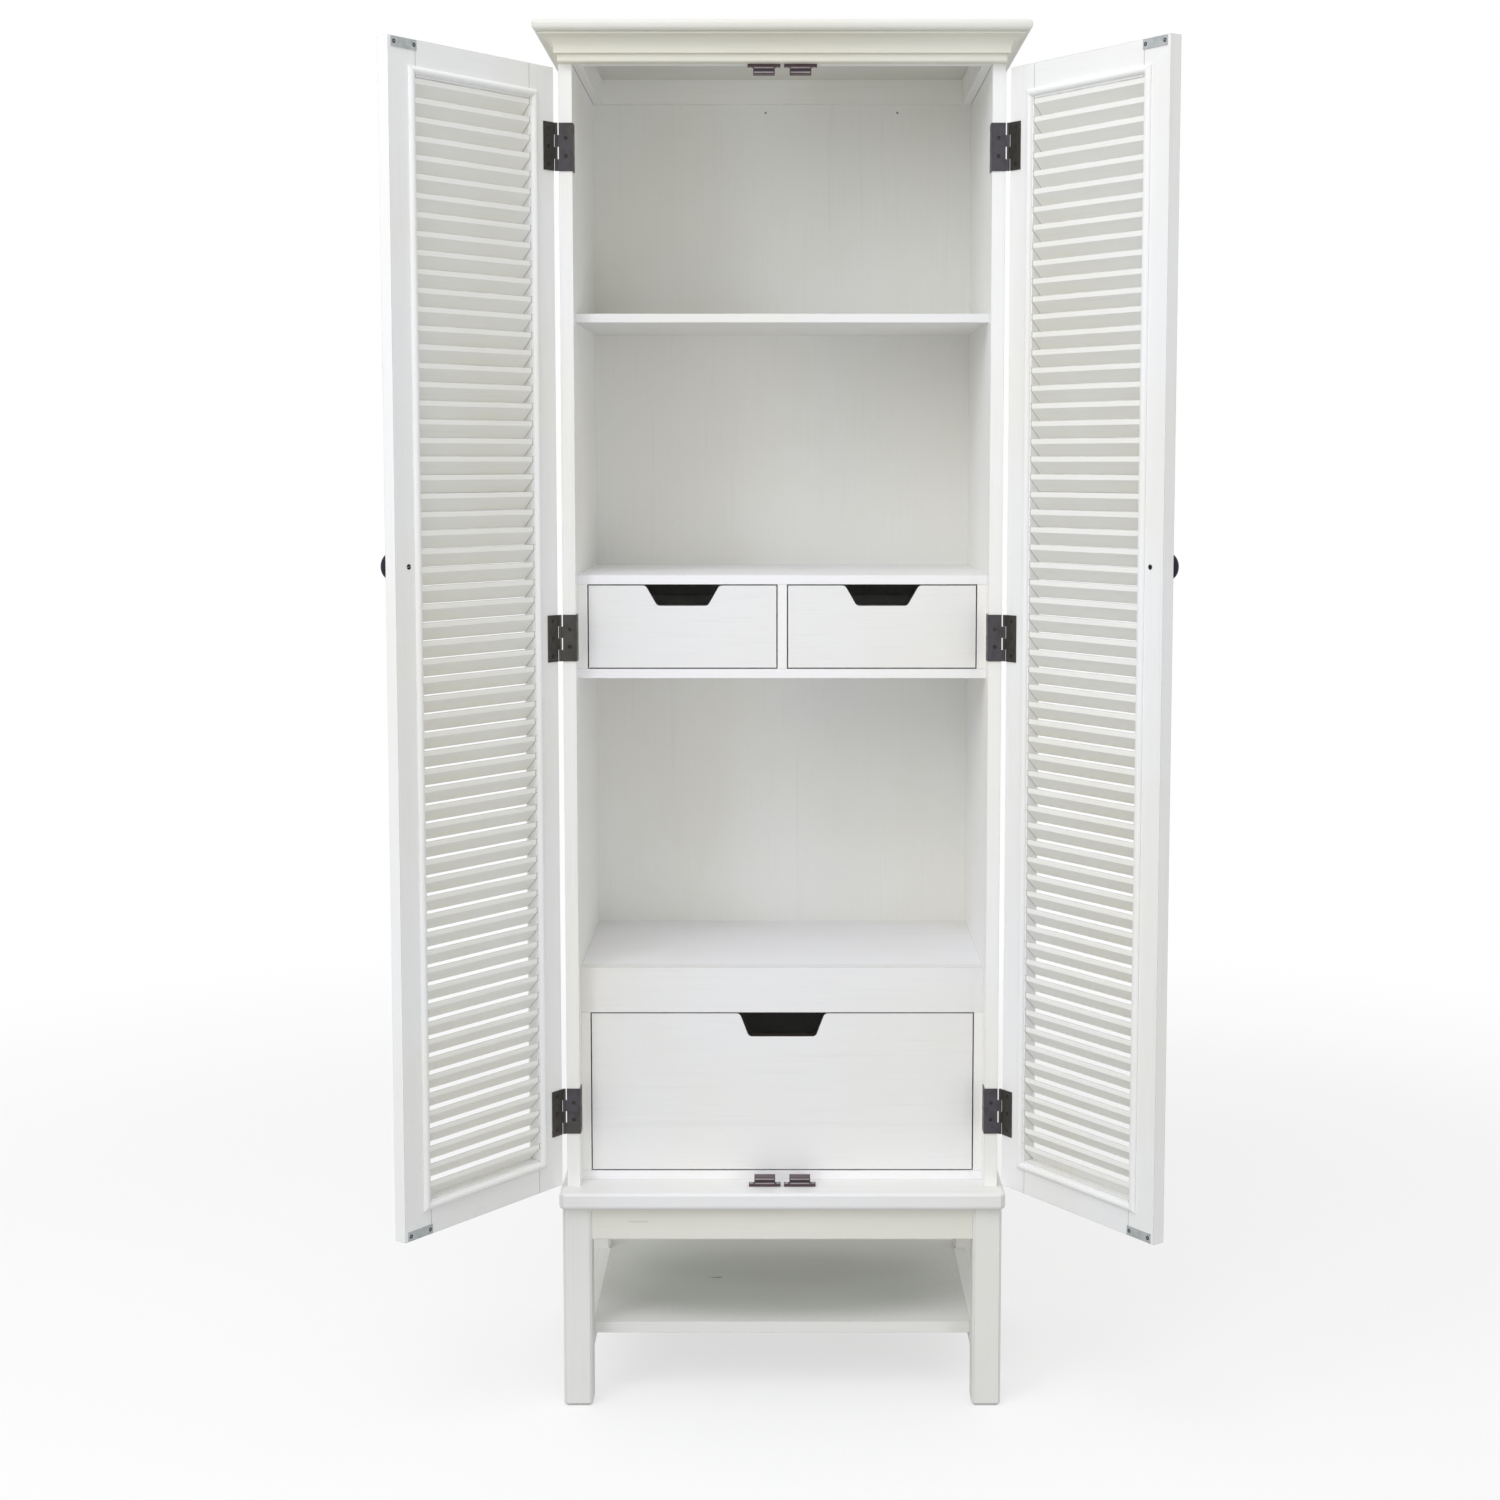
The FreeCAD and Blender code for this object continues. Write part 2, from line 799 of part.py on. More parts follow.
def make_lower_case():
    """The box for the large drawer: its sides are notched round the deep fascia."""
    front = front_y + case_setback
    width = 2 * inner_half
    node(
        centred("low_bottom", width, front, stand_height, case_depth, case_board),
        "lower_case_bottom",
    )
    node(
        centred("fascia", width, front, fascia_bottom, fascia_thickness, fascia_height),
        "lower_case_fascia",
    )
    node(
        centred(
            "low_top",
            width,
            front + fascia_thickness,
            lower_top_z - case_board,
            case_depth - fascia_thickness,
            case_board,
        ),
        "lower_case_top",
    )
    under_top = lower_top_z - case_board - lower_inside_z
    sides = []
    for name, turn in SIDES:
        body = new_body(f"low_side_{name}")
        sketch = new_sketch(body, f"low_side_outline_{name}", "YZ_Plane")
        outline(
            sketch,
            [
                (0, 0),
                (case_depth, 0),
                (case_depth, under_top),
                (fascia_thickness, under_top),
                (fascia_thickness, large_opening_height),
                (0, large_opening_height),
            ],
        )
        pad(body, sketch, f"low_side_pad_{name}", case_board)
        place(body, mirrored(turn, -inner_half, case_board), front, lower_inside_z)
        sides.append(body)
    node(group("low_sides", sides), "lower_case_sides")


# ---------------------------------------------------------------- drawers

def make_drawer_front(name, x, z, width, height, grip_top, grip_bottom, grip_depth):
    """A drawer front with a tapered finger cut-out in its top edge."""
    body = new_body(f"{name}_front_body")
    sketch = new_sketch(body, f"{name}_front_outline", "XZ_Plane")
    middle = width / 2
    floor = height - grip_depth
    outline(
        sketch,
        [
            (0, 0),
            (width, 0),
            (width, height),
            (middle + grip_top / 2, height),
            (middle + grip_bottom / 2, floor),
            (middle - grip_bottom / 2, floor),
            (middle - grip_top / 2, height),
            (0, height),
        ],
    )
    pad(body, sketch, f"{name}_front_pad", drawer_front_thickness, backwards=True)
    inner = (middle - grip_top / 2 - 1).number
    outer = (middle + grip_top / 2 + 1).number
    low = (floor - 1).number

    def grip_corner(edge):
        bounds = edge.BoundBox
        through = bounds.YLength > 1 and bounds.XLength < 0.01 and bounds.ZLength < 0.01
        return through and inner < bounds.XMin < outer and bounds.ZMin > low

    round_edges(body, f"{name}_grip_round", grip_round, grip_corner)
    place(body, x, front_y + case_setback + drawer_front_setback, z)
    return node(body, f"{name}_front")


def make_drawer(name, opening_x, opening_z, opening_width, opening_height, grip):
    """A drawer in its opening: a front, two sides, a back and a let-in bottom. The sides
    end a little below the finger cut-out."""
    front_x = opening_x + drawer_gap
    front_width = opening_width - 2 * drawer_gap
    front_height = opening_height - 2 * drawer_gap
    make_drawer_front(
        name, front_x, opening_z + drawer_gap, front_width, front_height, *grip
    )
    box_x = opening_x + drawer_side_gap
    box_width = opening_width - 2 * drawer_side_gap
    box_y = front_y + case_setback + drawer_front_setback + drawer_front_thickness
    box_length = drawer_depth - drawer_front_thickness
    box_z = opening_z + drawer_running_gap
    box_height = opening_height - drawer_gap - grip[2] - box_below_grip
    thick = drawer_side_thickness
    inner_width = box_width - 2 * thick
    boards = [
        box(f"{name}_side_a", (box_x, box_y, box_z), (thick, box_length, box_height)),
        box(
            f"{name}_side_b",
            (box_x + box_width - thick, box_y, box_z),
            (thick, box_length, box_height),
        ),
        box(
            f"{name}_back",
            (box_x + thick, box_y + box_length - thick, box_z),
            (inner_width, thick, box_height),
        ),
        box(
            f"{name}_bottom",
            (box_x + thick, box_y, box_z + drawer_bottom_rise),
            (inner_width, box_length - thick, drawer_bottom_thickness),
        ),
    ]
    node(group(f"{name}_boards", boards), f"{name}_box")


def make_drawers():
    small_width = opening_half - case_board / 2
    small_grip = (small_grip_top, small_grip_bottom, small_grip_depth)
    large_grip = (large_grip_top, large_grip_bottom, large_grip_depth)
    make_drawer(
        "drawer_left", -opening_half, upper_inside_z, small_width,
        small_opening_height, small_grip,
    )
    make_drawer(
        "drawer_right", case_board / 2, upper_inside_z, small_width,
        small_opening_height, small_grip,
    )
    make_drawer(
        "drawer_large", -opening_half, lower_inside_z, 2 * opening_half,
        large_opening_height, large_grip,
    )


# ---------------------------------------------------------------- doors

def make_stile(side, which, start):
    """An upright of a door, with a housing for the end of each slat."""
    name, turn = side
    label = f"door_{name}_{which}_stile"
    body = new_body(f"{label}_body")
    plan = new_sketch(body, f"{label}_plan", "XY_Plane")
    low_x = mirrored(turn, start, stile_width)
    rectangle(plan, low_x, door_outer_v, low_x + stile_width, door_face_v)
    pad(body, plan, f"{label}_pad", door_height)
    faces_middle = which == "hinge"
    louvre_x = start + stile_width if faces_middle else start
    grooves = new_sketch(body, f"{label}_groove", "YZ_Plane", turn * louvre_x)
    depth = slat_depth + slat_slack
    fall = depth * tangent(slat_slope_angle)
    lowest_nose = louvre_bottom - door_bottom + slat_end_gap + slat_drop + slat_nose
    face = door_face_v
    outline(
        grooves,
        [
            (face + cut_overrun, lowest_nose + slat_slack),
            (face + cut_overrun, lowest_nose - slat_nose - slat_slack),
            (face, lowest_nose - slat_nose - slat_slack),
            (face - depth, lowest_nose - slat_nose - slat_slack - fall),
            (face - depth, lowest_nose + slat_slack - fall),
            (face, lowest_nose + slat_slack),
        ],
    )
    into_positive_x = (turn > 0) != faces_middle
    groove = pocket(
        body, grooves, f"{label}_groove_cut", slat_housing, backwards=into_positive_x
    )
    repeat_upwards(body, groove, f"{label}_grooves", slat_pitch, slat_count)
    doc.recompute()
    place(body, 0, 0, door_bottom)
    hang(label, side, [body])


def make_slats(side):
    """The fixed slats: noses level with the inner face, sloping down to the outside."""
    name, turn = side
    label = f"door_{name}_slats"
    body = new_body(f"{label}_body")
    length = louvre_width + 2 * (slat_housing - slat_slack)
    start = pin_offset + stile_width - slat_housing + slat_slack
    sketch = new_sketch(body, f"{label}_section", "YZ_Plane")
    fall = slat_depth * tangent(slat_slope_angle)
    outline(
        sketch,
        [(0, 0), (0, -slat_nose), (-slat_depth, -slat_nose - fall), (-slat_depth, -fall)],
    )
    blade = pad(body, sketch, f"{label}_blade", length)
    repeat_upwards(body, blade, f"{label}_stack", slat_pitch, slat_count)
    lowest_nose = louvre_bottom + slat_end_gap + slat_drop + slat_nose
    place(body, mirrored(turn, start, length), door_face_v, lowest_nose)
    hang(label, side, [body])


def make_bead_strip(name, length, x, z, quarter_turns):
    """One half-round strip with mitred ends, lying on the door's inner face."""
    body = new_body(name)
    section = new_sketch(body, f"{name}_section", "YZ_Plane")
    edge = bead_width / 2
    outline(
        section,
        [(0, edge), (bead_edge, edge), (bead_edge, -edge), (0, -edge)],
        {1: (bead_round, True)},
    )
    pad(body, section, f"{name}_pad", length, midplane=True)
    half = length / 2
    for turn in (1, -1):
        mitre = new_sketch(body, f"{name}_mitre_{turn + 1}", "XZ_Plane")
        outline(
            mitre,
            [
                (turn * half, edge),
                (turn * (half + cut_overrun), edge),
                (turn * (half + cut_overrun), -edge - cut_overrun),
                (turn * (half - bead_width - cut_overrun), -edge - cut_overrun),
            ],
        )
        pocket(body, mitre, f"{name}_mitre_cut_{turn + 1}", 2 * bead_width, midplane=True)
    body.Placement = FreeCAD.Placement(
        FreeCAD.Vector(0, 0, 0),
        FreeCAD.Rotation(FreeCAD.Vector(0, 1, 0), 90 * quarter_turns),
    )
    place(body, x, door_face_v, z)
    return body


def make_bead(side):
    """The planted half-round bead round the louvres: four mitred strips."""
    name, turn = side
    width = louvre_width + 2 * (bead_setback + bead_width)
    height = louvre_height + 2 * (bead_setback + bead_width)
    centre_x = turn * (pin_offset + door_width / 2)
    centre_z = (louvre_bottom + louvre_top) / 2
    out_x = louvre_width / 2 + bead_setback + bead_width / 2
    out_z = louvre_height / 2 + bead_setback + bead_width / 2
    label = f"door_{name}_bead"
    strips = [
        make_bead_strip(f"{label}_top", width, centre_x, centre_z + out_z, 0),
        make_bead_strip(f"{label}_a", height, centre_x + out_x, centre_z, 1),
        make_bead_strip(f"{label}_bottom", width, centre_x, centre_z - out_z, 2),
        make_bead_strip(f"{label}_b", height, centre_x - out_x, centre_z, 3),
    ]
    hang(label, side, strips)


def make_door_rails(side):
    name, turn = side
    x = mirrored(turn, pin_offset + stile_width, louvre_width)
    for which, z in (("top", louvre_top), ("bottom", door_bottom)):
        rail = box(
            f"door_rail_{name}_{which}",
            (x, door_outer_v, z),
            (louvre_width, door_thickness, rail_height),
        )
        hang(f"door_{name}_{which}_rail", side, [rail])


def make_knob(side):
    """A turned mushroom knob on the outside of the lock stile."""
    name, turn = side
    label = f"door_{name}_knob"
    body = new_body(label)
    section = new_sketch(body, f"{label}_section", "XY_Plane")
    rim_end = knob_widest_at + knob_rim_height
    outline(
        section,
        [
            (0, 0),
            (knob_neck_radius, 0),
            (knob_neck_radius, knob_neck_height),
            (knob_radius, knob_widest_at),
            (knob_radius, rim_end),
            (0, rim_end + knob_dome_height),
        ],
        {4: (knob_dome_radius, False)},
    )
    turned = body.newObject("PartDesign::Revolution", f"{label}_turned")
    turned.Profile = section
    turned.ReferenceAxis = (section, ["V_Axis"])
    turned.Angle = 360
    body.Tip = turned
    body.Placement = FreeCAD.Placement(
        FreeCAD.Vector(0, 0, 0), FreeCAD.Rotation(FreeCAD.Vector(0, 0, 1), 180)
    )
    centre_x = turn * (pin_offset + door_width - stile_width / 2)
    place(body, centre_x, door_outer_v, knob_height)
    return body


def make_strikes(side):
    """Steel plates that the magnetic catches pull on, at the free corners."""
    name, turn = side
    start = pin_offset + door_width - strike_inset - strike_length
    x = mirrored(turn, start, strike_length)
    levels = (
        ("low", door_bottom + strike_edge_gap),
        ("high", door_top - strike_edge_gap - strike_height),
    )
    plates = []
    for which, z in levels:
        plates.append(
            box(
                f"strike_{name}_{which}",
                (x, door_face_v, z),
                (strike_length, strike_thickness, strike_height),
            )
        )
    hang(f"door_{name}_strikes", side, plates)


# ---------------------------------------------------------------- hinges

KNUCKLES = 4


def knuckle_span(index):
    """Lower end and length of one knuckle, counted from the bottom of the hinge."""
    share = hinge_height / KNUCKLES
    return share * index + knuckle_gap / 2, share - knuckle_gap


def hinge_leaf(name, turn, plates, knuckles, tab_y):
    """A hinge leaf drawn round its pin: plates, then a tab and a barrel at each of its
    knuckles. The pin is closed in by the barrels."""
    pieces = []
    for number, (start, y, width, depth) in enumerate(plates):
        pieces.append(
            box(
                f"{name}_plate_{number}",
                (mirrored(turn, start, width), y, 0),
                (width, depth, hinge_height),
            )
        )
    tab_width = pin_offset + leaf_relief
    for index in knuckles:
        low, length = knuckle_span(index)
        pieces.append(
            box(
                f"{name}_tab_{index}",
                (mirrored(turn, formula(0), tab_width), tab_y, low),
                (tab_width, leaf_thickness, length),
            )
        )
        pieces.append(cylinder(f"{name}_barrel_{index}", knuckle_radius, length, 0, 0, low))
    return fuse(name, pieces)


def make_hinges_and_knobs():
    """Wrap-around butt hinges: one leaf on the door's inner face, the other over the
    front edge of the side panel and round onto its inner face. The knobs are of the
    same dark metal as the door leaves and share their node."""
    levels = (("low", hinge_low), ("middle", hinge_middle), ("high", hinge_high))
    edge_y = door_face_gap / 2 - leaf_thickness
    door_plates = [(pin_offset, door_face_v, door_leaf_width, leaf_thickness)]
    wrap_plates = [
        (pin_offset, edge_y, side_thickness + leaf_thickness, leaf_thickness),
        (
            pin_offset + side_thickness,
            edge_y,
            leaf_thickness,
            wrap_leaf_width + leaf_thickness,
        ),
    ]
    cabinet_leaves = []
    for side in SIDES:
        name, turn = side
        door_leaves = []
        for which, centre in levels:
            low = centre - hinge_height / 2
            label = f"leaf_{name}_{which}"
            leaf = hinge_leaf(f"door_{label}", turn, door_plates, (1, 3), door_face_v)
            place(leaf, 0, 0, low)
            door_leaves.append(leaf)
            leaf = hinge_leaf(f"cabinet_{label}", turn, wrap_plates, (0, 2), edge_y)
            place(leaf, -turn * pin_x, pin_y, low)
            cabinet_leaves.append(leaf)
        hang(f"door_{name}_fittings", side, door_leaves + [make_knob(side)])
    node(group("leaves", cabinet_leaves), "cabinet_hinge_leaves")


# ---------------------------------------------------------------- catches

def make_catches():
    """Magnetic catches in the middle: two under the front rail, two on the base top.
    Each is a housing with ears, and a magnet between two steel pole plates."""
    pole_front = front_y - door_face_gap + strike_thickness + catch_air_gap
    body_front = pole_front + pole_stand_out
    pole_width = catch_body_width - 2 * catch_wall
    stack = pole_spacing + pole_thickness
    housings = []
    cores = []
    mount_wall = catch_body_height - catch_wall - stack
    levels = (
        (
            "high",
            rail_bottom - catch_body_height,
            rail_bottom - catch_ear_height,
            rail_bottom - catch_body_height + catch_wall,
        ),
        ("low", stand_height, stand_height, stand_height + mount_wall),
    )
    for which, low, ear_z, stack_z in levels:
        for name, turn in SIDES:
            label = f"catch_{which}_{name}"
            centre = -turn * catch_centre
            shell = fuse(
                f"{label}_shell",
                [
                    box(
                        f"{label}_block",
                        (centre - catch_body_width / 2, body_front, low),
                        (catch_body_width, catch_body_depth, catch_body_height),
                    ),
                    box(
                        f"{label}_ears",
                        (centre - catch_ear_span / 2, body_front, ear_z),
                        (catch_ear_span, catch_ear_depth, catch_ear_height),
                    ),
                ],
            )
            hollow = box(
                f"{label}_hollow",
                (centre - pole_width / 2, pole_front, stack_z),
                (pole_width, pole_depth, stack),
            )
            housings.append(cut(f"{label}_housing", shell, hollow))
            for part, z in (("under", 0), ("over", pole_spacing)):
                cores.append(
                    box(
                        f"{label}_pole_{part}",
                        (centre - pole_width / 2, pole_front, stack_z + z),
                        (pole_width, pole_depth, pole_thickness),
                    )
                )
            cores.append(
                box(
                    f"{label}_magnet",
                    (
                        centre - pole_width / 2,
                        pole_front + magnet_setback,
                        stack_z + pole_thickness,
                    ),
                    (
                        pole_width,
                        pole_depth - magnet_setback,
                        pole_spacing - pole_thickness,
                    ),
                )
            )
    node(group("catch_shells", housings), "catch_housings")
    node(group("catch_cores", cores), "catch_magnets")


# ---------------------------------------------------------------- build and write

make_side_panels()
make_back_and_top_frame()
make_cap_board()
make_crown_backer()
make_crown_mouldings()
make_base_top()
make_legs()
make_aprons()
make_upper_case()
make_lower_case()
make_drawers()
for door_side in SIDES:
    make_stile(door_side, "hinge", pin_offset)
    make_stile(door_side, "lock", pin_offset + door_width - stile_width)
    make_door_rails(door_side)
    make_slats(door_side)
    make_bead(door_side)
    make_strikes(door_side)
make_hinges_and_knobs()
make_catches()
doc.recompute()

for item in doc.Objects:
    if "Invalid" in item.State or "Error" in item.State:
        raise ValueError(f"{item.Name} failed: {item.State}")
for piece in nodes:
    if piece.Shape.isNull() or not piece.Shape.isValid():
        raise ValueError(f"{piece.Label} has no valid shape")

os.makedirs("parts", exist_ok=True)
for piece in nodes:
    piece.Shape.exportStep(f"parts/{piece.Label}.step")
print(len(nodes), "nodes written")
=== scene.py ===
# %% [markdown]
# # A louvred door cabinet, dressed for the camera
# The cabinet comes from its CAD model, which already holds every board, slat, moulding,
# hinge and catch in its right place. Blender adds what the CAD leaves out: the paint
# with its brush marks, rubbed edges and some painted light and shade, the metals, the
# screws, the light and the camera. The imported model is loaded first, and nothing in it
# is moved, so every new piece is placed in the same metres.

# %% Load the imported model
import json
import math

import bmesh
import bpy
import numpy as np
from mathutils import Matrix, Vector


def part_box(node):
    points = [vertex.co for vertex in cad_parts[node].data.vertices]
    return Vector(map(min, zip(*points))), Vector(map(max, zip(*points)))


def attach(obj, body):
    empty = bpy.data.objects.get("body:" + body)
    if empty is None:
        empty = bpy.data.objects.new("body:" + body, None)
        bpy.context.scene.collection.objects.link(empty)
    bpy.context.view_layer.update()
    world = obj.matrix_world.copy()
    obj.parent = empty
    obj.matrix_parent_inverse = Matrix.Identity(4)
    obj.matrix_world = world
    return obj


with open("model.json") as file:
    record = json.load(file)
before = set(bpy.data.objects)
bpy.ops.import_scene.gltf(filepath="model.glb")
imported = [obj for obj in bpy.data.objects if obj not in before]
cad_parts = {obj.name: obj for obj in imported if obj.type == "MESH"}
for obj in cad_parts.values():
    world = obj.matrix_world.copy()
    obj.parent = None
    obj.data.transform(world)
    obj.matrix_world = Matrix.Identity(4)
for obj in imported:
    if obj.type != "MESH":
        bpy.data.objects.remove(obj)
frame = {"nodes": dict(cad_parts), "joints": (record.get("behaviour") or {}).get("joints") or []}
nodes = frame["nodes"]
joints = {joint["name"]: joint for joint in frame["joints"]}
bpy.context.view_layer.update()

# %% [markdown]
# ## Where a door is
# Each door is swung open, so its boards stand at an angle to the world. Paint follows a
# board's own length, and screws sit square on it, so both need to know how the door is
# turned. The hinge says it: its lower limit is the closed door, so the angle from there
# to rest is the limit's own angle with its sign changed. A place on a door is given by
# three distances from the pin: along the door, out of its face, and up from the floor.

# %% Angles and pins of the doors
DOORS = ("door_left", "door_right")


def door_turn(door):
    """The open angle: minus the closed limit, times the sense of the pin's axis."""
    hinge = joints[door + "_hinge"]
    return -math.radians(hinge["range_deg"][0]) * hinge["axis"][2]


def door_pin(door):
    """The pin's place on the floor plan."""
    x, y, _ = joints[door + "_hinge"]["pos_m"]
    return Vector((x, y, 0))


def door_hand(door):
    """1 for the left door and -1 for the right one, which is its mirror image."""
    return 1 if door == "door_left" else -1


def door_frame(door):
    """Columns: along the door, out of its inner face, and up. The right door's length
    runs the other way before it is turned."""
    turn = Matrix.Rotation(door_turn(door), 3, "Z")
    return turn @ Matrix(((door_hand(door), 0, 0), (0, 1, 0), (0, 0, 1)))


def on_door(door, along, out, height):
    """Pin plus the turned distances."""
    return door_pin(door) + door_frame(door) @ Vector((along, out, height))


def facing_in(door):
    """The direction out of the door's inner face."""
    return door_frame(door) @ Vector((0, 1, 0))


for door in DOORS:
    print(door, "stands open by", round(math.degrees(abs(door_turn(door)))), "degrees")

# %% [markdown]
# ## Writing a finish
# A finish in Blender is a small network: coordinates go into patterns, patterns into a
# colour, a roughness and a bump, and these into the Principled shader. It could be
# clicked together by hand or written node by node, but both are long, so a class named
# Nodes adds a node, sets or links its sockets, and knows the few combinations that come
# back again and again. Shaders reckon in linear light, so a colour that is given as a
# screen's 0 to 255 is converted first.

# %% Colours in linear light


def srgb(red, green, blue):
    """Linear colour from a screen's 0 to 255: ((v + 0.055) / 1.055) to the 2.4."""
    share = np.array([red, green, blue]) / 255
    return tuple(((share + 0.055) / 1.055) ** 2.4)


print("a screen's 188 is", round(float(srgb(188, 188, 188)[0]), 3), "in linear light")

# %% A class that writes nodes


class Nodes:
    """Writes nodes into one tree and links them."""

    def __init__(self, tree):
        self.tree = tree

    def feed(self, socket, value):
        """Link another node's socket, or set a plain value."""
        if isinstance(value, bpy.types.NodeSocket):
            self.tree.links.new(value, socket)
        elif socket.type == "RGBA":
            socket.default_value = (*value, 1)
        else:
            socket.default_value = value

    def add(self, kind, inputs=None, **settings):
        """One node of this kind, with its settings and its inputs."""
        node = self.tree.nodes.new("ShaderNode" + kind)
        for setting, value in settings.items():
            setattr(node, setting, value)
        for socket, value in (inputs or {}).items():
            self.feed(node.inputs[socket], value)
        return node

    def between(self, value, low, high, start=0.0, end=1.0):
        """Start below low, end above high, and a smooth step from one to the other."""
        inputs = {
            "Value": value,
            "From Min": low,
            "From Max": high,
            "To Min": start,
            "To Max": end,
        }
        ranged = self.add("MapRange", inputs, interpolation_type="SMOOTHSTEP")
        return ranged.outputs["Result"]

    def maths(self, operation, first, second=0.0):
        """Two values added, multiplied and so on."""
        return self.add("Math", {0: first, 1: second}, operation=operation).outputs[0]

    def length(self, vector):
        """How long a vector is."""
        measure = self.add("VectorMath", {0: vector}, operation="LENGTH")
        return measure.outputs["Value"]

    def blend(self, share, first, second, how="MIX"):
        """The first colour with a share of the second laid over it. A Mix node keeps
        its two colour sockets at 6 and 7, and its colour result at 2."""
        node = self.add("Mix", data_type="RGBA", blend_type=how)
        for socket, value in ((0, share), (6, first), (7, second)):
            self.feed(node.inputs[socket], value)
        return node.outputs[2]

    def seen_studio(self):
        """1 for a ray that shows the studio (from the camera, in a reflection, through
        glass) and 0 for one that carries its light onto a surface."""
        path = self.add("LightPath").outputs
        seen = self.maths("MAXIMUM", path["Is Camera Ray"], path["Is Glossy Ray"])
        return self.maths("MAXIMUM", seen, path["Is Transmission Ray"])

    def choose(self, share, first, second):
        """One shader, with a share of another in its place."""
        mixed = self.add("MixShader", {0: share})
        self.feed(mixed.inputs[1], first)
        self.feed(mixed.inputs[2], second)
        return mixed.outputs[0]


# %% [markdown]
# Patterns read Object coordinates, which are metres here, so a brush mark can be given
# its real length and width. A Mapping node of the Texture kind does that: it takes away
# a place and a turn, then divides by a size. A second class, Finish, is a material that
# knows such a place and turn. On a door these are the hinge pin and the open angle, so
# the pattern lies along the door's boards.
#
# Worn edges need no painted mask. A Bevel node gives the normal as it would be on a
# rounded edge, and where that leaves the true normal, the surface is near an edge.

# %% A class that writes a material
FLAT_COSINE = 0.995
SHARP_COSINE = 0.80
SOFT_CORNER = 0.0006


class Finish(Nodes):
    """A material whose patterns may follow a board that is moved and turned."""

    def __init__(self, name, place=(0, 0, 0), turn=0.0):
        self.material = bpy.data.materials.new(name)
        self.material.use_nodes = True
        super().__init__(self.material.node_tree)
        self.shader = self.tree.nodes["Principled BSDF"]
        self.place, self.turn = place, turn
        self.coordinates = self.add("TexCoord").outputs["Object"]

    def stretched(self, cell, place=None):
        """Coordinates in cells of a size: (point - place), turned back, over cell."""
        inputs = {
            "Vector": self.coordinates,
            "Location": self.place if place is None else place,
            "Rotation": (0, 0, self.turn),
            "Scale": cell,
        }
        return self.add("Mapping", inputs, vector_type="TEXTURE").outputs["Vector"]

    def noise(self, cell, detail=3, rough=0.55, twist=0.0):
        """Cloudy values from 0 to 1, one cloud to a cell."""
        inputs = {
            "Vector": self.stretched(cell),
            "Scale": 1,
            "Detail": detail,
            "Roughness": rough,
            "Distortion": twist,
        }
        return self.add("TexNoise", inputs).outputs[0]

    def clouds(self, size, detail):
        """Noise in cells that are as long as they are wide and high."""
        return self.noise((size, size, size), detail)

    def part(self, axis):
        """One coordinate of the point, in metres, along a board's own X, Y or Z."""
        whole = self.stretched((1, 1, 1))
        return self.add("SeparateXYZ", {0: whole}).outputs[axis.upper()]

    def line(self, axis, middle, half_width):
        """1 on a thin line across the axis at this distance, 0 beside it."""
        away = self.maths("ABSOLUTE", self.maths("SUBTRACT", self.part(axis), middle))
        return self.between(away, half_width, half_width * 0.4)

    def edges(self, width):
        """About 0 on a flat face and 1 on its sharp edges: how far a normal that is
        averaged over the width leaves the true one."""
        rounded = self.add("Bevel", {"Radius": width}, samples=4).outputs["Normal"]
        true = self.add("NewGeometry").outputs["True Normal"]
        pair = {0: rounded, 1: true}
        cosine = self.add("VectorMath", pair, operation="DOT_PRODUCT").outputs["Value"]
        return self.between(cosine, FLAT_COSINE, SHARP_COSINE)

    def finish(self, colour, roughness, height, depth, corner=SOFT_CORNER):
        """Give the shader its colour, its roughness, and a bump this many metres deep
        on corners that are eased by a small radius."""
        eased = self.add("Bevel", {"Radius": corner}, samples=4).outputs["Normal"]
        inputs = {"Height": height, "Strength": 1, "Distance": depth, "Normal": eased}
        self.feed(self.shader.inputs["Base Color"], colour)
        self.feed(self.shader.inputs["Roughness"], roughness)
        normal = self.add("Bump", inputs).outputs["Normal"]
        self.feed(self.shader.inputs["Normal"], normal)
        return self.material


# %% [markdown]
# ## White satin paint over wood
# The whole cabinet is brushed with a white satin paint that has a drop of cream in it,
# so its lit faces look white and its shaded ones slightly green and warm. Close to, one
# sees faint streaks of the brush along each board, the wood's own grain as a shallow
# relief, and undercoat where edges are rubbed. Thin grey lines along the edges and in
# the inner corners are painted shade. One noise in cubic cells could stand for all of
# it, but paint has a direction. So each noise is stretched along the board, and there is
# a finish for each direction that boards run in, and one more set for each door, turned
# with it.

# %% Colours of the paint
WHITE = srgb(246, 246, 244)
CREAM = srgb(243, 241, 232)
SHADED = srgb(229, 229, 225)
# Painted shade: the grey of the lines on edges and in inner corners.
EDGE_SHADE = srgb(146, 147, 140)
UNDERCOAT = srgb(188, 170, 140)
BARE_WOOD = srgb(96, 76, 54)
GAP_DARK = srgb(112, 110, 100)
# Dark brown: painted shade in the gaps beside the drawer fronts, and the dull clouds of
# blackened screws.
DARK_BROWN = srgb(62, 52, 48)
# Painted shade: the grey-green that darkens the low shelf's top.
SHELF_SHADE = srgb(184, 189, 178)
print("white paint in linear light:", [round(float(share), 3) for share in WHITE])
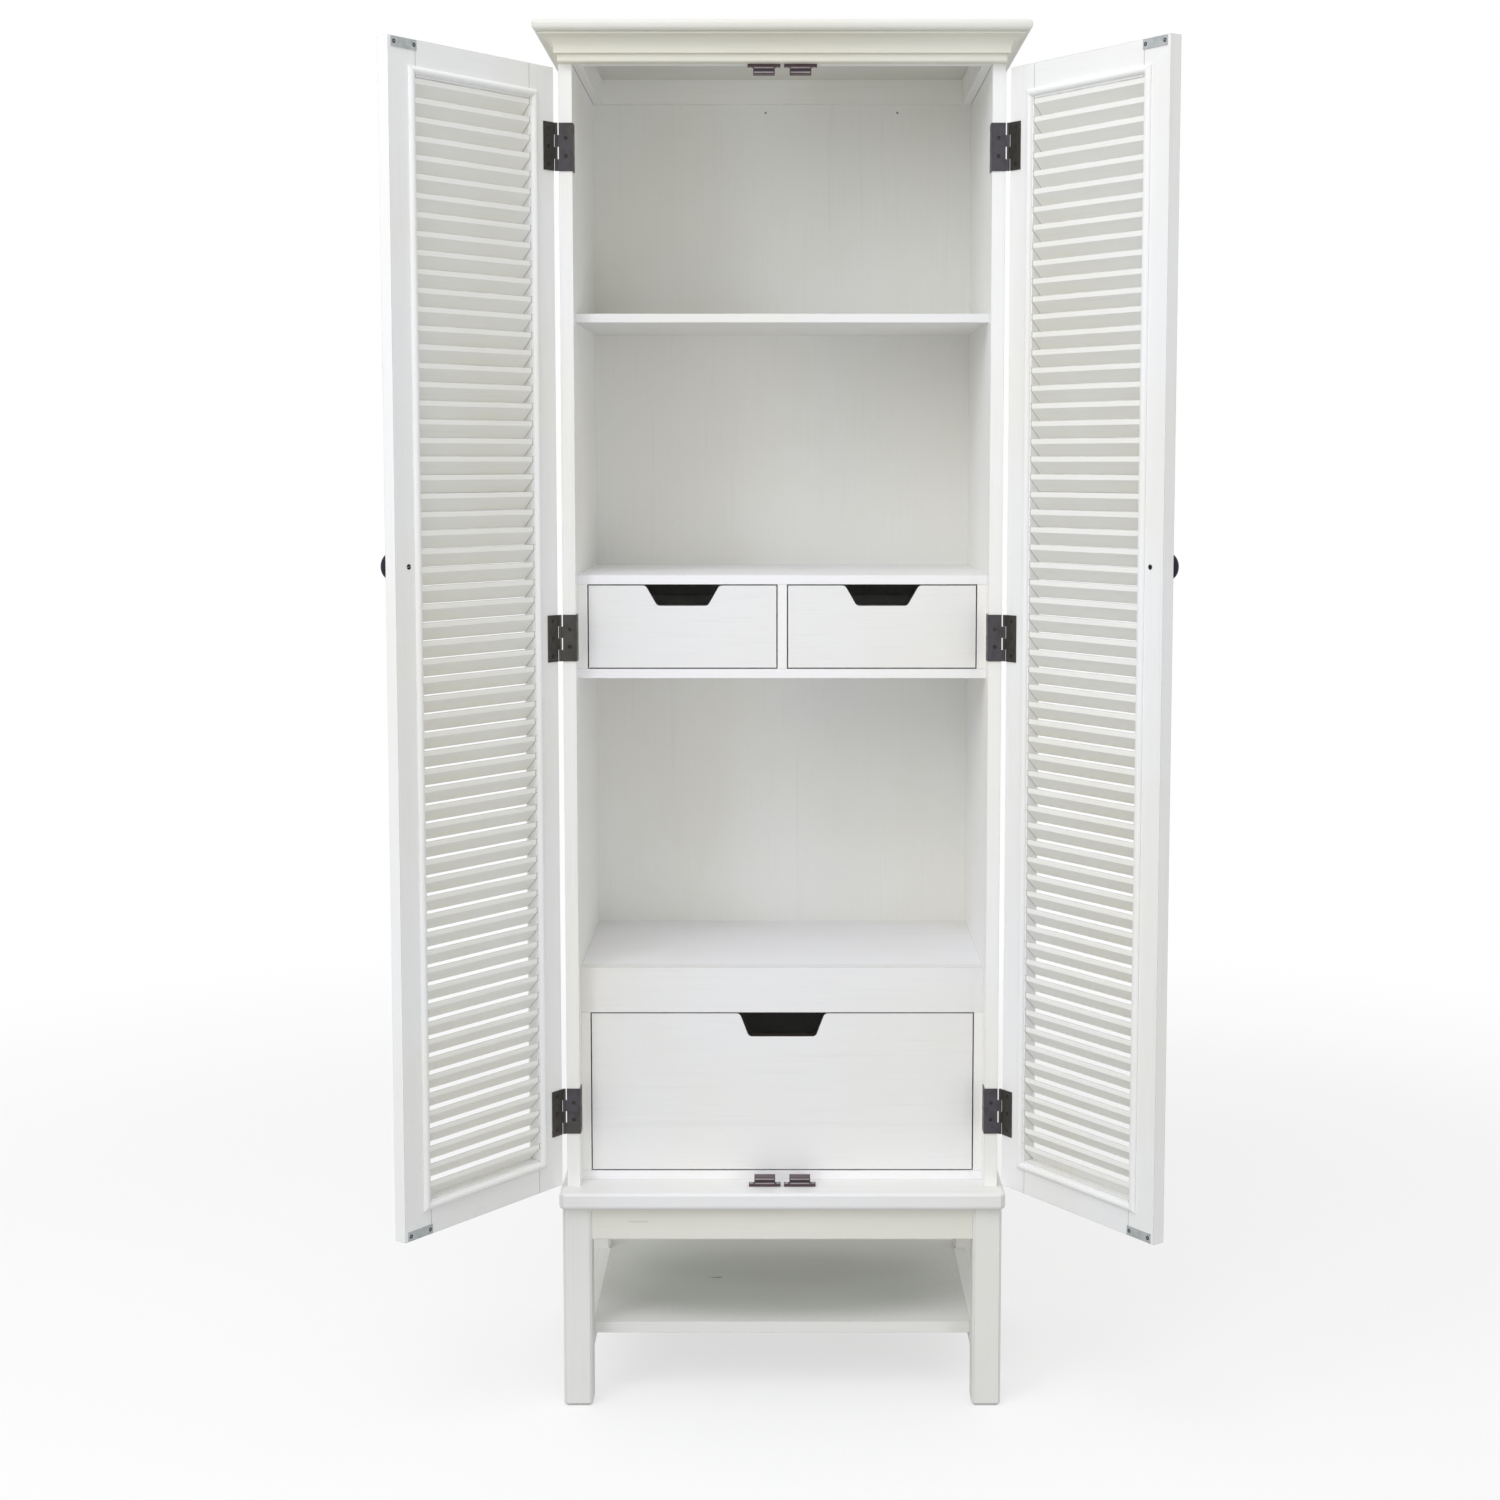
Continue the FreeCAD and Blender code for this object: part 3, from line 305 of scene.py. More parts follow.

# %% [markdown]
# The boards are one paint, but each group gets a tint. The crown is the yellowest; its
# tint, like the cap's, is partly a cream of their own and partly painted shade. The
# legs, the low shelf and the back wall are a shade darker, which is painted shade. The
# apron is darker and warmer, partly a cream of its own and partly painted shade. The
# fronts are darker, painted shade on faces that the key lamp lights strongly. The slats
# and the top rails are warmer, a painted warm shade, and the door frames and the boards
# that lie flat inside are a touch bluer, a painted cool light. Every group could have a
# set of colours of its own, but then a change to the paint would have to be made in ten
# places. A tint keeps it one paint: its red, green and blue are multiplied by three
# numbers near 1, as by a glaze.

# %% Tints of the groups of boards
# Each tint below paints light and shade onto its boards, as said above.
CROWN_CREAM_AND_SHADE = (0.86, 0.85, 0.76)
CAP_CREAM_AND_SHADE = (0.79, 0.785, 0.745)
WARM_SHADE_TINT = (1.0, 1.0, 0.98)
LEG_SHADE_TINT = (0.905, 0.905, 0.89)
APRON_CREAM_AND_SHADE = (0.88, 0.87, 0.80)
FRONT_SHADE_TINT = (0.925, 0.925, 0.935)
BACK_SHADE_TINT = (0.965, 0.965, 0.95)
BOARD_COOL_LIGHT_TINT = (1.0, 1.0, 1.035)
DOOR_COOL_LIGHT_TINT = (0.98, 0.985, 0.995)

# %% [markdown]
# A streak is as long as a short stroke of the brush and two millimetres wide. The lines
# of the grain are longer and wider, and they waver. The patches that set both the rubbed
# undercoat and the painted edge shade are short. Noise values crowd around a half, so a
# smooth step that starts at 0.5 leaves half of the board alone, and one that starts at
# 0.75 touches only specks.

# %% Noise along the grain
BRUSH_STREAKS = {"length": 0.11, "width": 0.0021, "detail": 4, "rough": 0.62}
GRAIN_LINES = {"length": 0.31, "width": 0.0085, "detail": 5, "twist": 0.7}
WEAR_AND_SHADE_PATCHES = {"length": 0.045, "width": 0.016, "detail": 5, "rough": 0.7}
DRIFT_CELL = (0.33, 0.29, 0.41)
SPECK = 0.006


def along_grain(paint, grain, length, width, **settings):
    """Noise in cells that are long in the grain's direction, and narrow across it."""
    cell = tuple(length if axis == grain else width for axis in "xyz")
    return paint.noise(cell, **settings)


# %% Brushed colour, painted edge shade and rubbed edges
EDGE_WIDTH = 0.0013


def brushed_colour(paint, streaks, grain_lines, specks):
    """White, drifting to cream in clouds; a little darker in the thin streaks and in
    the lines of the grain; undercoat in a few specks."""
    drift = paint.noise(DRIFT_CELL, detail=4)
    colour = paint.blend(paint.between(drift, 0.40, 0.66, 0, 0.6), WHITE, CREAM)
    streak_share = paint.between(streaks, 0.52, 0.74, 0, 0.24)
    colour = paint.blend(streak_share, colour, SHADED)
    line_share = paint.between(grain_lines, 0.56, 0.72, 0, 0.19)
    colour = paint.blend(line_share, colour, SHADED)
    speck_share = paint.between(specks, 0.75, 0.80, 0, 0.15)
    return paint.blend(speck_share, colour, UNDERCOAT)


def shade_and_wear_on_edges(paint, colour, wear_and_shade_patches, edge_wear_and_shade):
    """Painted shade: grey on the edges and in inner corners, more or less as the patches
    go. Undercoat where they are strongest, which is wear. The last argument is how wide
    and how dark the grey shows."""
    edge = paint.edges(EDGE_WIDTH * edge_wear_and_shade)
    edge_share = paint.between(wear_and_shade_patches, 0.34, 0.62, 0.20 * edge_wear_and_shade, 0.62 * edge_wear_and_shade)
    colour = paint.blend(paint.maths("MULTIPLY", edge, edge_share), colour, EDGE_SHADE)
    worn = paint.between(wear_and_shade_patches, 0.63, 0.72, 0, 0.45)
    return paint.blend(paint.maths("MULTIPLY", edge, worn), colour, UNDERCOAT)


# %% [markdown]
# Three things break the even paint. An oval mark is an oval of another colour, such as
# painted shade or a scratch down to the wood. An open joint is a dark line where two
# boards meet. It is drawn and not modelled, because the CAD's boards meet face to face
# and stay as they are. The drawer fronts' edges, which face into the gaps around them,
# are painted dark brown: painted shade in those gaps.

# %% Oval marks, open joints and painted shade in gaps


def oval_mark(paint, colour, specks, place, half_size, mark_colour, strength, ragged):
    """The mark's colour has its full strength in the middle and none from the rim on,
    where |(point - place) / half size| is 1, give or take a ragged noise."""
    reach = paint.length(paint.stretched(half_size, place))
    reach = paint.maths("ADD", reach, paint.between(specks, 0.3, 0.7, -ragged, ragged))
    share = paint.between(reach, 1.0, 0.55, 0, strength)
    return paint.blend(share, colour, mark_colour)


def open_joint(paint, colour, axis, middle, half_width, strength):
    """A dark line across the axis."""
    share = paint.maths("MULTIPLY", paint.line(axis, middle, half_width), strength)
    return paint.blend(share, colour, GAP_DARK)


def shade_in_gaps(paint, colour):
    """Painted shade: dark brown wherever the surface looks along neither the front nor the
    back, so where the Y of its normal is small. On a drawer front these are its edges,
    which face into the gaps around it."""
    normal = paint.add("NewGeometry").outputs["True Normal"]
    facing = paint.add("SeparateXYZ", {0: normal}).outputs["Y"]
    aside = paint.between(paint.maths("ABSOLUTE", facing), 0.6, 0.3)
    return paint.blend(aside, colour, DARK_BROWN)


# %% The painted finish
PAINT_RELIEF = 0.00006
GRAIN_RELIEF = 1.6


def painted_wood(
    name,
    grain,
    place=(0, 0, 0),
    turn=0.0,
    tint=None,
    edge_wear_and_shade=1.0,
    marks=(),
    joint_lines=(),
    shaded_sides=False,
):
    """The layers from the first to the last: brushed paint; its tint, which paints light and
    shade; grey lines on edges and in corners, which are painted shade, with rubbed
    undercoat; oval marks; lines of open joints; painted shade on the sides of drawer
    fronts. The relief is the streaks plus a share of the grain, and the paint is glossier
    where its streaks are low."""
    paint = Finish(name, place, turn)
    streaks = along_grain(paint, grain, **BRUSH_STREAKS)
    grain_lines = along_grain(paint, grain, **GRAIN_LINES)
    wear_and_shade_patches = along_grain(paint, grain, **WEAR_AND_SHADE_PATCHES)
    specks = paint.clouds(SPECK, detail=2)

    colour = brushed_colour(paint, streaks, grain_lines, specks)
    if tint:
        colour = paint.blend(1.0, colour, tint, how="MULTIPLY")
    colour = shade_and_wear_on_edges(paint, colour, wear_and_shade_patches, edge_wear_and_shade)
    for mark in marks:
        colour = oval_mark(paint, colour, specks, **mark)
    for joint_line in joint_lines:
        colour = open_joint(paint, colour, **joint_line)
    if shaded_sides:
        colour = shade_in_gaps(paint, colour)

    gloss = paint.between(streaks, 0.3, 0.7, 0.40, 0.54)
    grain_relief = paint.maths("MULTIPLY", grain_lines, GRAIN_RELIEF)
    relief = paint.maths("ADD", streaks, grain_relief)
    return paint.finish(colour, gloss, relief, PAINT_RELIEF)


# %% [markdown]
# ## Metals and plastic
# Hinges and knobs are dark bronze, a satin lacquer over metal, rubbed to warm metal on
# the edges. The lacquer has turned: it drifts between violet and brown from one hinge
# to the next. Each hinge could have its own material, but a noise with cells of a
# quarter of a metre gives each its own hue from one. The leaves on the doors are more
# olive, and the knobs, which hands keep clean, are violet again.

# %% Dark bronze
VIOLET_BRONZE = srgb(72, 69, 75)
KNOB_BRONZE = srgb(64, 55, 70)
BROWN_BRONZE = srgb(68, 65, 60)
OLIVE_BRONZE = srgb(58, 56, 50)
RUBBED_BRONZE = srgb(112, 104, 96)
BLACKENED = srgb(34, 32, 34)
METAL_CORNER = 0.0003
GRIT_RELIEF = 0.00003
RUBBED_WIDTH = 0.0008
LEAVES_END = 0.38
KNOBS_START = 0.42


def dark_bronze(name, lacquer, turned, handled=None):
    """A lacquer that drifts to the colour it has turned to, clouded with black by a
    fine noise, and lighter where an edge is rubbed. A handled colour takes its place
    further from the middle of the cabinet than the leaves reach: on the knobs."""
    bronze = Finish(name)
    drift = bronze.clouds(0.25, detail=1)
    clouds = bronze.clouds(0.012, detail=4)
    grit = bronze.clouds(0.0009, detail=2)
    colour = bronze.blend(bronze.between(drift, 0.4, 0.6), lacquer, turned)
    if handled:
        aside = bronze.maths("ABSOLUTE", bronze.part("x"))
        knob_share = bronze.between(aside, LEAVES_END, KNOBS_START)
        colour = bronze.blend(knob_share, colour, handled)
    colour = bronze.blend(bronze.between(clouds, 0.4, 0.7, 0, 0.35), colour, BLACKENED)
    edge_share = bronze.maths("MULTIPLY", bronze.edges(RUBBED_WIDTH), clouds)
    colour = bronze.blend(edge_share, colour, RUBBED_BRONZE)
    bronze.shader.inputs["Metallic"].default_value = 0.35
    gloss = bronze.between(clouds, 0.3, 0.7, 0.36, 0.52)
    return bronze.finish(colour, gloss, grit, GRIT_RELIEF, METAL_CORNER)


# %% [markdown]
# The strikes on the doors are zinc plate, pale, dull and finely brushed. The screws of
# the catches are plain steel, and those of hinges, strikes and knobs are blackened.
# They differ in colour and gloss alone, so one function makes all three.

# %% Zinc and steel
ZINC = srgb(184, 188, 190)
TARNISH = srgb(168, 174, 172)
STEEL = srgb(205, 202, 200)
SCRATCH_RELIEF = 0.00002


def bare_metal(name, bright, dull, cell, smooth, rough, metallic, specular=0.5):
    """Bright metal with dull clouds, and scratches as long as the cell is."""
    metal = Finish(name)
    clouds = metal.clouds(0.008, detail=3)
    scratches = metal.noise(cell, detail=3, rough=0.7)
    colour = metal.blend(metal.between(clouds, 0.4, 0.65), bright, dull)
    metal.shader.inputs["Metallic"].default_value = metallic
    metal.shader.inputs["Specular IOR Level"].default_value = specular
    gloss = metal.between(scratches, 0.3, 0.7, smooth, rough)
    return metal.finish(colour, gloss, scratches, SCRATCH_RELIEF, METAL_CORNER)


# %% [markdown]
# Each catch is moulded brown plastic around a magnet: dark ferrite between two plates
# of bare steel. All the stacks are one node, so two materials in two slots would need
# their faces told apart. Instead, one material works out from a point's height whether
# it is plate or ferrite.

# %% Magnets and plastic
POLE_STEEL = srgb(176, 166, 168)
FERRITE = srgb(58, 50, 56)
BROWN_PLASTIC = srgb(74, 54, 60)
DUSTY_PLASTIC = srgb(98, 78, 80)
PLATE_BLUR = 0.0001
PLASTIC_CORNER = 0.0004


def magnet_stack(name, middle, half_spread, half_ferrite):
    """Steel plates with ferrite between. The stacks sit in two rows, half_spread below
    and above the middle height, so a point's distance from its own row is
    ||z - middle| - half_spread|, and within half_ferrite it is ferrite."""
    stack = Finish(name)
    from_middle = stack.maths("SUBTRACT", stack.part("z"), middle)
    away = stack.maths("ABSOLUTE", from_middle)
    from_row = stack.maths("SUBTRACT", away, half_spread)
    distance = stack.maths("ABSOLUTE", from_row)
    outer, inner = half_ferrite + PLATE_BLUR, half_ferrite - PLATE_BLUR
    ferrite = stack.between(distance, outer, inner)
    scratches = stack.noise((0.01, 0.01, 0.0004), detail=3, rough=0.7)
    plate = stack.blend(stack.between(scratches, 0.4, 0.7, 0, 0.5), POLE_STEEL, FERRITE)
    stack.shader.inputs["Metallic"].default_value = 0.3
    colour = stack.blend(ferrite, plate, FERRITE)
    gloss = stack.between(scratches, 0.3, 0.7, 0.3, 0.45)
    return stack.finish(colour, gloss, scratches, SCRATCH_RELIEF, METAL_CORNER)


def moulded_plastic(name):
    """Brown with a dusty bloom in clouds, and a fine spark-eroded texture."""
    plastic = Finish(name)
    clouds = plastic.clouds(0.01, detail=4)
    grit = plastic.clouds(0.0005, detail=2)
    bloom = plastic.between(clouds, 0.45, 0.7, 0, 0.6)
    colour = plastic.blend(bloom, BROWN_PLASTIC, DUSTY_PLASTIC)
    gloss = plastic.between(clouds, 0.3, 0.7, 0.38, 0.5)
    return plastic.finish(colour, gloss, grit, GRIT_RELIEF, PLASTIC_CORNER)


# %% [markdown]
# ## Which finish goes on which piece
# A CAD node keeps its shape and gets its finish through its material slots. The boards
# are sorted by the way their grain runs: uprights along Z, boards across the cabinet
# along X, and boards that run from front to back along Y. Boards that share a grain and
# a tint share one finish.

# %% Sort the boards by their grain
CASE_BOARDS = (
    "apron_back",
    "lower_case_bottom",
    "lower_case_top",
    "upper_case_bottom",
    "upper_case_top",
)
FRONTS = ("base_top", "fixed_shelf", "lower_case_fascia")
TOP_RAILS = ("top_rail_back", "top_rail_front")
UPRIGHT = ("side_panel_left", "side_panel_right")
LEGS = [f"leg_{row}_{side}" for row in ("front", "back") for side in ("left", "right")]
DRAWERS = ("drawer_left", "drawer_right", "drawer_large")
FRONT_TO_BACK = [
    "lower_case_sides",
    "upper_case_sides",
    "upper_case_divider",
    "shelf_rails",
    "side_aprons",
    *(f"{drawer}_box" for drawer in DRAWERS),
]


def dress(names, material):
    """Put one material in every slot of these nodes."""
    for name in names:
        mesh = nodes[name].data
        mesh.materials.clear()
        mesh.materials.append(material)
        mesh.polygons.foreach_set("material_index", np.zeros(len(mesh.polygons), int))
    print(material.name, "on", *names)


# %% Paint the boards
# These tints paint light and shade: painted shade on the fronts, legs and back wall, painted
# warm shade on the top rails, and painted cool light on the flat boards inside.
dress(CASE_BOARDS, painted_wood("white_paint_across", "x", tint=BOARD_COOL_LIGHT_TINT))
dress(FRONTS, painted_wood("white_paint_fronts", "x", tint=FRONT_SHADE_TINT))
dress(TOP_RAILS, painted_wood("white_paint_top_rails", "x", tint=WARM_SHADE_TINT))
dress(LEGS, painted_wood("white_paint_legs", "z", tint=LEG_SHADE_TINT, edge_wear_and_shade=1.5))
dress(UPRIGHT, painted_wood("white_paint_upright", "z"))
dress(["back_panel"], painted_wood("white_paint_back", "z", tint=BACK_SHADE_TINT))
dress(FRONT_TO_BACK, painted_wood("white_paint_front_to_back", "y"))
# The drawer fronts' sides are painted dark brown as shade in the gaps around them.
drawer_paint = painted_wood(
    "white_paint_drawer_fronts", "x", tint=FRONT_SHADE_TINT, shaded_sides=True
)
dress([f"{drawer}_front" for drawer in DRAWERS], drawer_paint)

# %% [markdown]
# The crown's mouldings are mitred at the corners, so the grain of the front one runs
# along X and that of the side ones along Y. The two cleats under the roof run along the
# side panels, and a dark line shows where each meets its panel.

# %% Paint the crown
INNER_FACE_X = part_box("side_panel_right")[0].x

# The cap's and crown's tints are partly a cream of their own and partly painted shade.
cap_paint = painted_wood("cream_paint_cap", "x", tint=CAP_CREAM_AND_SHADE, edge_wear_and_shade=1.5)
crown_paint = painted_wood("cream_paint_crown_front", "x", tint=CROWN_CREAM_AND_SHADE)
crown_side_paint = painted_wood("cream_paint_crown_sides", "y", tint=CROWN_CREAM_AND_SHADE)
cleat_joints = [
    {"axis": "x", "middle": side * INNER_FACE_X, "half_width": 0.0012, "strength": 0.8}
    for side in (-1, 1)
]
cleat_paint = painted_wood("white_paint_cleats", "y", joint_lines=cleat_joints)
dress(["cap_board"], cap_paint)
dress(["crown_front", "crown_backer"], crown_paint)
dress(["crown_left", "crown_right"], crown_side_paint)
dress(["top_cleats"], cleat_paint)

# %% [markdown]
# The low shelf's top is darkened by two wide grey-green ovals, a painted shade that
# deepens towards the back, under the cabinet, and something has scratched it down to
# the wood. The apron has one spot where the paint is rubbed thin.

# %% Paint the low shelf and the apron
shelf_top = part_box("lower_shelf")[1].z
apron_low, apron_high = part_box("apron_front")
# Painted shade: two grey-green ovals darken the shelf's top, more towards the back.
painted_shade_ovals = [
    {
        "place": (0, middle, shelf_top),
        "half_size": (0.36, 0.17, 0.004),
        "mark_colour": SHELF_SHADE,
        "strength": 0.62,
        "ragged": 0.02,
    }
    for middle in (0.115, 0.25)
]
scratch = {
    "place": (-0.098, 0.138, shelf_top),
    "half_size": (0.012, 0.0022, 0.002),
    "mark_colour": BARE_WOOD,
    "strength": 0.85,
    "ragged": 0.25,
}
rubbed_spot = {
    "place": (-0.199, apron_low.y, apron_high.z - 0.0205),
    "half_size": (0.019, 0.01, 0.0015),
    "mark_colour": UNDERCOAT,
    "strength": 0.35,
    "ragged": 0.25,
}
shelf_paint = painted_wood(
    "white_paint_low_shelf", "x", tint=LEG_SHADE_TINT, marks=[*painted_shade_ovals, scratch]
)
apron_paint = painted_wood(
    "white_paint_apron", "x", tint=APRON_CREAM_AND_SHADE, edge_wear_and_shade=1.5, marks=[rubbed_spot]
)
dress(["lower_shelf"], shelf_paint)
dress(["apron_front"], apron_paint)

# %% [markdown]
# On a door, X is along the door once the pattern is turned with it. A door's boards
# meet in two places that show: the rails butt against both stiles, and the slats vanish
# into the hinge stile. The stiles' own points say how far from the pin that is.

# %% Paint the doors
DOOR_UPRIGHT = ("bead", "hinge_stile", "lock_stile")


def span_on_door(door, part):
    """Smallest and largest distance from the pin, along the door, of a node's points:
    the first of the three door distances of (point - pin)."""
    mesh = nodes[f"{door}_{part}"].data
    points = np.empty(len(mesh.vertices) * 3)
    mesh.vertices.foreach_get("co", points)
    along = (points.reshape(-1, 3) - door_pin(door)) @ np.array(door_frame(door).col[0])
    return along.min(), along.max()


def joint_on_door(door, along, half_width, strength):
    """The line of an open joint at this distance from the pin."""
    line = {"axis": "x", "middle": door_hand(door) * along}
    return {**line, "half_width": half_width, "strength": strength}


for door in DOORS:
    on_pin = {"place": door_pin(door), "turn": door_turn(door)}
    slat_start = span_on_door(door, "hinge_stile")[1]
    slat_end = span_on_door(door, "lock_stile")[0]
    # The frames' tint is a painted cool light and the slats' a painted warm shade; the door is
    # one paint.
    rail_paint = painted_wood(
        f"white_paint_{door}_across",
        "x",
        **on_pin,
        tint=DOOR_COOL_LIGHT_TINT,
        edge_wear_and_shade=1.3,
        joint_lines=[
            joint_on_door(door, end, half_width=0.0011, strength=0.5)
            for end in (slat_start, slat_end)
        ],
    )
    slat_paint = painted_wood(
        f"white_paint_{door}_slats",
        "x",
        **on_pin,
        tint=WARM_SHADE_TINT,
        joint_lines=[joint_on_door(door, slat_start, half_width=0.0012, strength=0.55)],
    )
    stile_paint = painted_wood(
        f"white_paint_{door}_upright", "z", **on_pin, tint=DOOR_COOL_LIGHT_TINT
    )
    dress([f"{door}_bottom_rail", f"{door}_top_rail"], rail_paint)
    dress([f"{door}_slats"], slat_paint)
    dress([f"{door}_{part}" for part in DOOR_UPRIGHT], stile_paint)
    print(door, "slats run from", round(slat_start, 4), "to", round(slat_end, 4), "m")

# %% [markdown]
# The metals have no grain to follow. The magnets need three heights from the CAD: the
# middle between the low catches and the high ones, how far each row is from it, and
# half of the ferrite, which is the stack less its two plates.

# %% Metals and plastic on their nodes
STACK = 0.0075
PLATE = 0.0015

magnets_low, magnets_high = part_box("catch_magnets")
magnet_finish = magnet_stack(
    "catch_stack",
    middle=(magnets_low.z + magnets_high.z) / 2,
    half_spread=(magnets_high.z - magnets_low.z - STACK) / 2,
    half_ferrite=STACK / 2 - PLATE,
)
cabinet_bronze = dark_bronze("violet_bronze", VIOLET_BRONZE, BROWN_BRONZE)
door_bronze = dark_bronze("olive_bronze", OLIVE_BRONZE, BROWN_BRONZE, KNOB_BRONZE)
zinc = bare_metal(
    "zinc_plate",
    ZINC,
    TARNISH,
    cell=(0.02, 0.02, 0.0006),
    smooth=0.5,
    rough=0.62,
    metallic=0.25,
)
dress(["cabinet_hinge_leaves"], cabinet_bronze)
dress([f"{door}_fittings" for door in DOORS], door_bronze)
dress([f"{door}_strikes" for door in DOORS], zinc)
dress(["catch_magnets"], magnet_finish)
dress(["catch_housings"], moulded_plastic("catch_plastic"))
bare = [name for name, node in nodes.items() if not node.data.materials[0].use_nodes]
print("nodes without a finish:", bare)

# %% [markdown]
# ## Screws
# Every hinge leaf, strike and catch is held by cross-slotted screws with slightly domed
# heads, and each knob by a slotted screw from inside the door. A head could be a
# cylinder with its slots cut out, but cutting leaves ragged faces. Here a head is a
# height over a disc. The disc comes from a square grid, because a slot then falls along
# grid lines and stays crisp with few faces: a point (u, v) of the square goes to
# (u * root(1 - v * v / 2), v * root(1 - u * u / 2)), which lands in the unit circle.
# The same disc, flat and a little lower, closes the head from below.

# %% A screw head as a height over a disc
SLOT = 0.13
SLOT_WALL = 0.02
CROSS_REACH = 0.7
RIM_HEIGHT = 0.15
SLOT_DEPTH = 1.4
UNDERSIDE = 0.0004


def grid_lines():
    """Lines across the square, -1 to 1, in pairs at the rim and the slot's sides."""
    half = [SLOT - SLOT_WALL, SLOT + SLOT_WALL, 0.45, 0.72, 0.94, 1.0]
    return np.array([-x for x in reversed(half)] + half)


def head(radius, dome, cross):
    """Points of a head on the plane z = 0, and its faces. The top is the dome's height
    times (1 - distance squared + rim height), less the slot depth in a slot. Its rim
    and the whole underside are let into the plate."""
    lines = grid_lines()
    u, v = np.meshgrid(lines, lines, indexing="ij")
    x = u * np.sqrt(1 - v * v / 2)
    y = v * np.sqrt(1 - u * u / 2)
    in_slot = (np.abs(v) < SLOT) & (np.abs(u) < (CROSS_REACH if cross else 1))
    if cross:
        in_slot |= (np.abs(u) < SLOT) & (np.abs(v) < CROSS_REACH)
    rim = np.maximum(np.abs(u), np.abs(v)) > 0.99
    top = dome * (1 - x * x - y * y) + RIM_HEIGHT * dome
    top -= SLOT_DEPTH * dome * in_slot
    top[rim] = -UNDERSIDE
    above = np.stack([x * radius, y * radius, top], axis=-1).reshape(-1, 3)
    below = above.copy()
    below[:, 2] = -UNDERSIDE
    count = len(lines)
    corner = (np.arange(count - 1)[:, None] * count + np.arange(count - 1)).ravel()
    up = np.stack([corner, corner + count, corner + count + 1, corner + 1], axis=-1)
    down = up[:, ::-1] + len(above)
    return np.concatenate([above, below]), np.concatenate([up, down])


# %% Many heads in one piece


def build_piece(name, points, faces, body, material):
    """A mesh from arrays, merged at its seams, that rides on a body."""
    mesh = bpy.data.meshes.new(name)
    mesh.from_pydata(points, [], faces)
    shell = bmesh.new()
    shell.from_mesh(mesh)
    bmesh.ops.remove_doubles(shell, verts=shell.verts, dist=1e-7)
    shell.to_mesh(mesh)
    shell.free()
    mesh.materials.append(material)
    piece = bpy.data.objects.new(name, mesh)
    bpy.context.scene.collection.objects.link(piece)
    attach(piece, body)
    print(name, len(mesh.polygons), "faces")


chance = np.random.default_rng(7)


def screws(name, body, places, material, radius, dome, cross=True):
    """One head at each (place, outward direction), turned by chance about its own axis:
    world point = place + frame times head point."""
    points, faces = head(radius, dome, cross)
    frames = []
    for _, outward in places:
        facing = Vector(outward).to_track_quat("Z", "Y").to_matrix()
        frames.append(facing @ Matrix.Rotation(chance.uniform(0, math.pi), 3, "Z"))
    origins = np.array([list(place) for place, _ in places])
    turned = np.einsum("sij,pj->spi", np.array(frames), points) + origins[:, None]
    steps = np.arange(len(places))[:, None, None] * len(points)
    all_faces = (faces[None] + steps).reshape(-1, 4)
    build_piece(name, turned.reshape(-1, 3), all_faces, body, material)


# %% Finishes of the screws
SCREW_GRIT = (0.001, 0.001, 0.001)

steel = bare_metal(
    "catch_screw_steel",
    STEEL,
    TARNISH,
    cell=SCREW_GRIT,
    smooth=0.35,
    rough=0.5,
    metallic=0.5,
)
screw_black = bare_metal(
    "blackened_steel",
    BLACKENED,
    DARK_BROWN,
    cell=SCREW_GRIT,
    smooth=0.7,
    rough=0.8,
    metallic=0.1,
    specular=0.2,
)
print("screw finishes:", steel.name, screw_black.name)

# %% [markdown]
# ## Where the screws go
# Each hinge has two screws through the cabinet leaf on the front edge of the side
# panel, three where that leaf wraps onto the panel's inner face, and three through the
# door's leaf. The side panel's box gives the faces that the leaf lies on. On a shut
# door the leaves lie 0.4 mm apart and a strike 0.3 mm from its magnet, so these heads
# are almost flush: a head stands 1.15 domes proud.

# %% Hinge screws
FRONT_EDGE_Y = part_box("side_panel_left")[0].y
LEAF = 0.0013
HINGE_HEIGHTS = (0.417, 1.07825, 1.7395)
ROW_OF_THREE = (-0.024, 0, 0.024)
ROW_OF_TWO = (-0.012, 0.012)
FRONT_ROW_X = 0.0085
INNER_ROW_Y = 0.012
DOOR_ROW_ALONG = 0.0145
DOOR_LEAF_OUT = -0.0002
HINGE_HEAD = 0.0026
HINGE_DOME = 0.0003

cabinet_places = []
for side in (-1, 1):
    front_x, inner_x = side * (INNER_FACE_X + FRONT_ROW_X), side * (INNER_FACE_X - LEAF)
    for middle in HINGE_HEIGHTS:
        for step in ROW_OF_TWO:
            place = (front_x, FRONT_EDGE_Y - LEAF, middle + step)
            cabinet_places.append((place, (0, -1, 0)))
        for step in ROW_OF_THREE:
            place = (inner_x, FRONT_EDGE_Y + INNER_ROW_Y, middle + step)
            cabinet_places.append((place, (-side, 0, 0)))
screws(
    "cabinet_hinge_screws",
    "cabinet",
    cabinet_places,
    screw_black,
    HINGE_HEAD,
    HINGE_DOME,
)

for door in DOORS:
    places = [
        (on_door(door, DOOR_ROW_ALONG, DOOR_LEAF_OUT, middle + step), facing_in(door))
        for middle in HINGE_HEIGHTS
        for step in ROW_OF_THREE
    ]
    name = f"{door}_hinge_screws"
    screws(name, door, places, screw_black, HINGE_HEAD, HINGE_DOME)

# %% [markdown]
# The strikes sit in the top and bottom corners of each door's free edge, with two dark
# screws 34 mm apart. The knob's screw shows as one slotted head on the inner face.

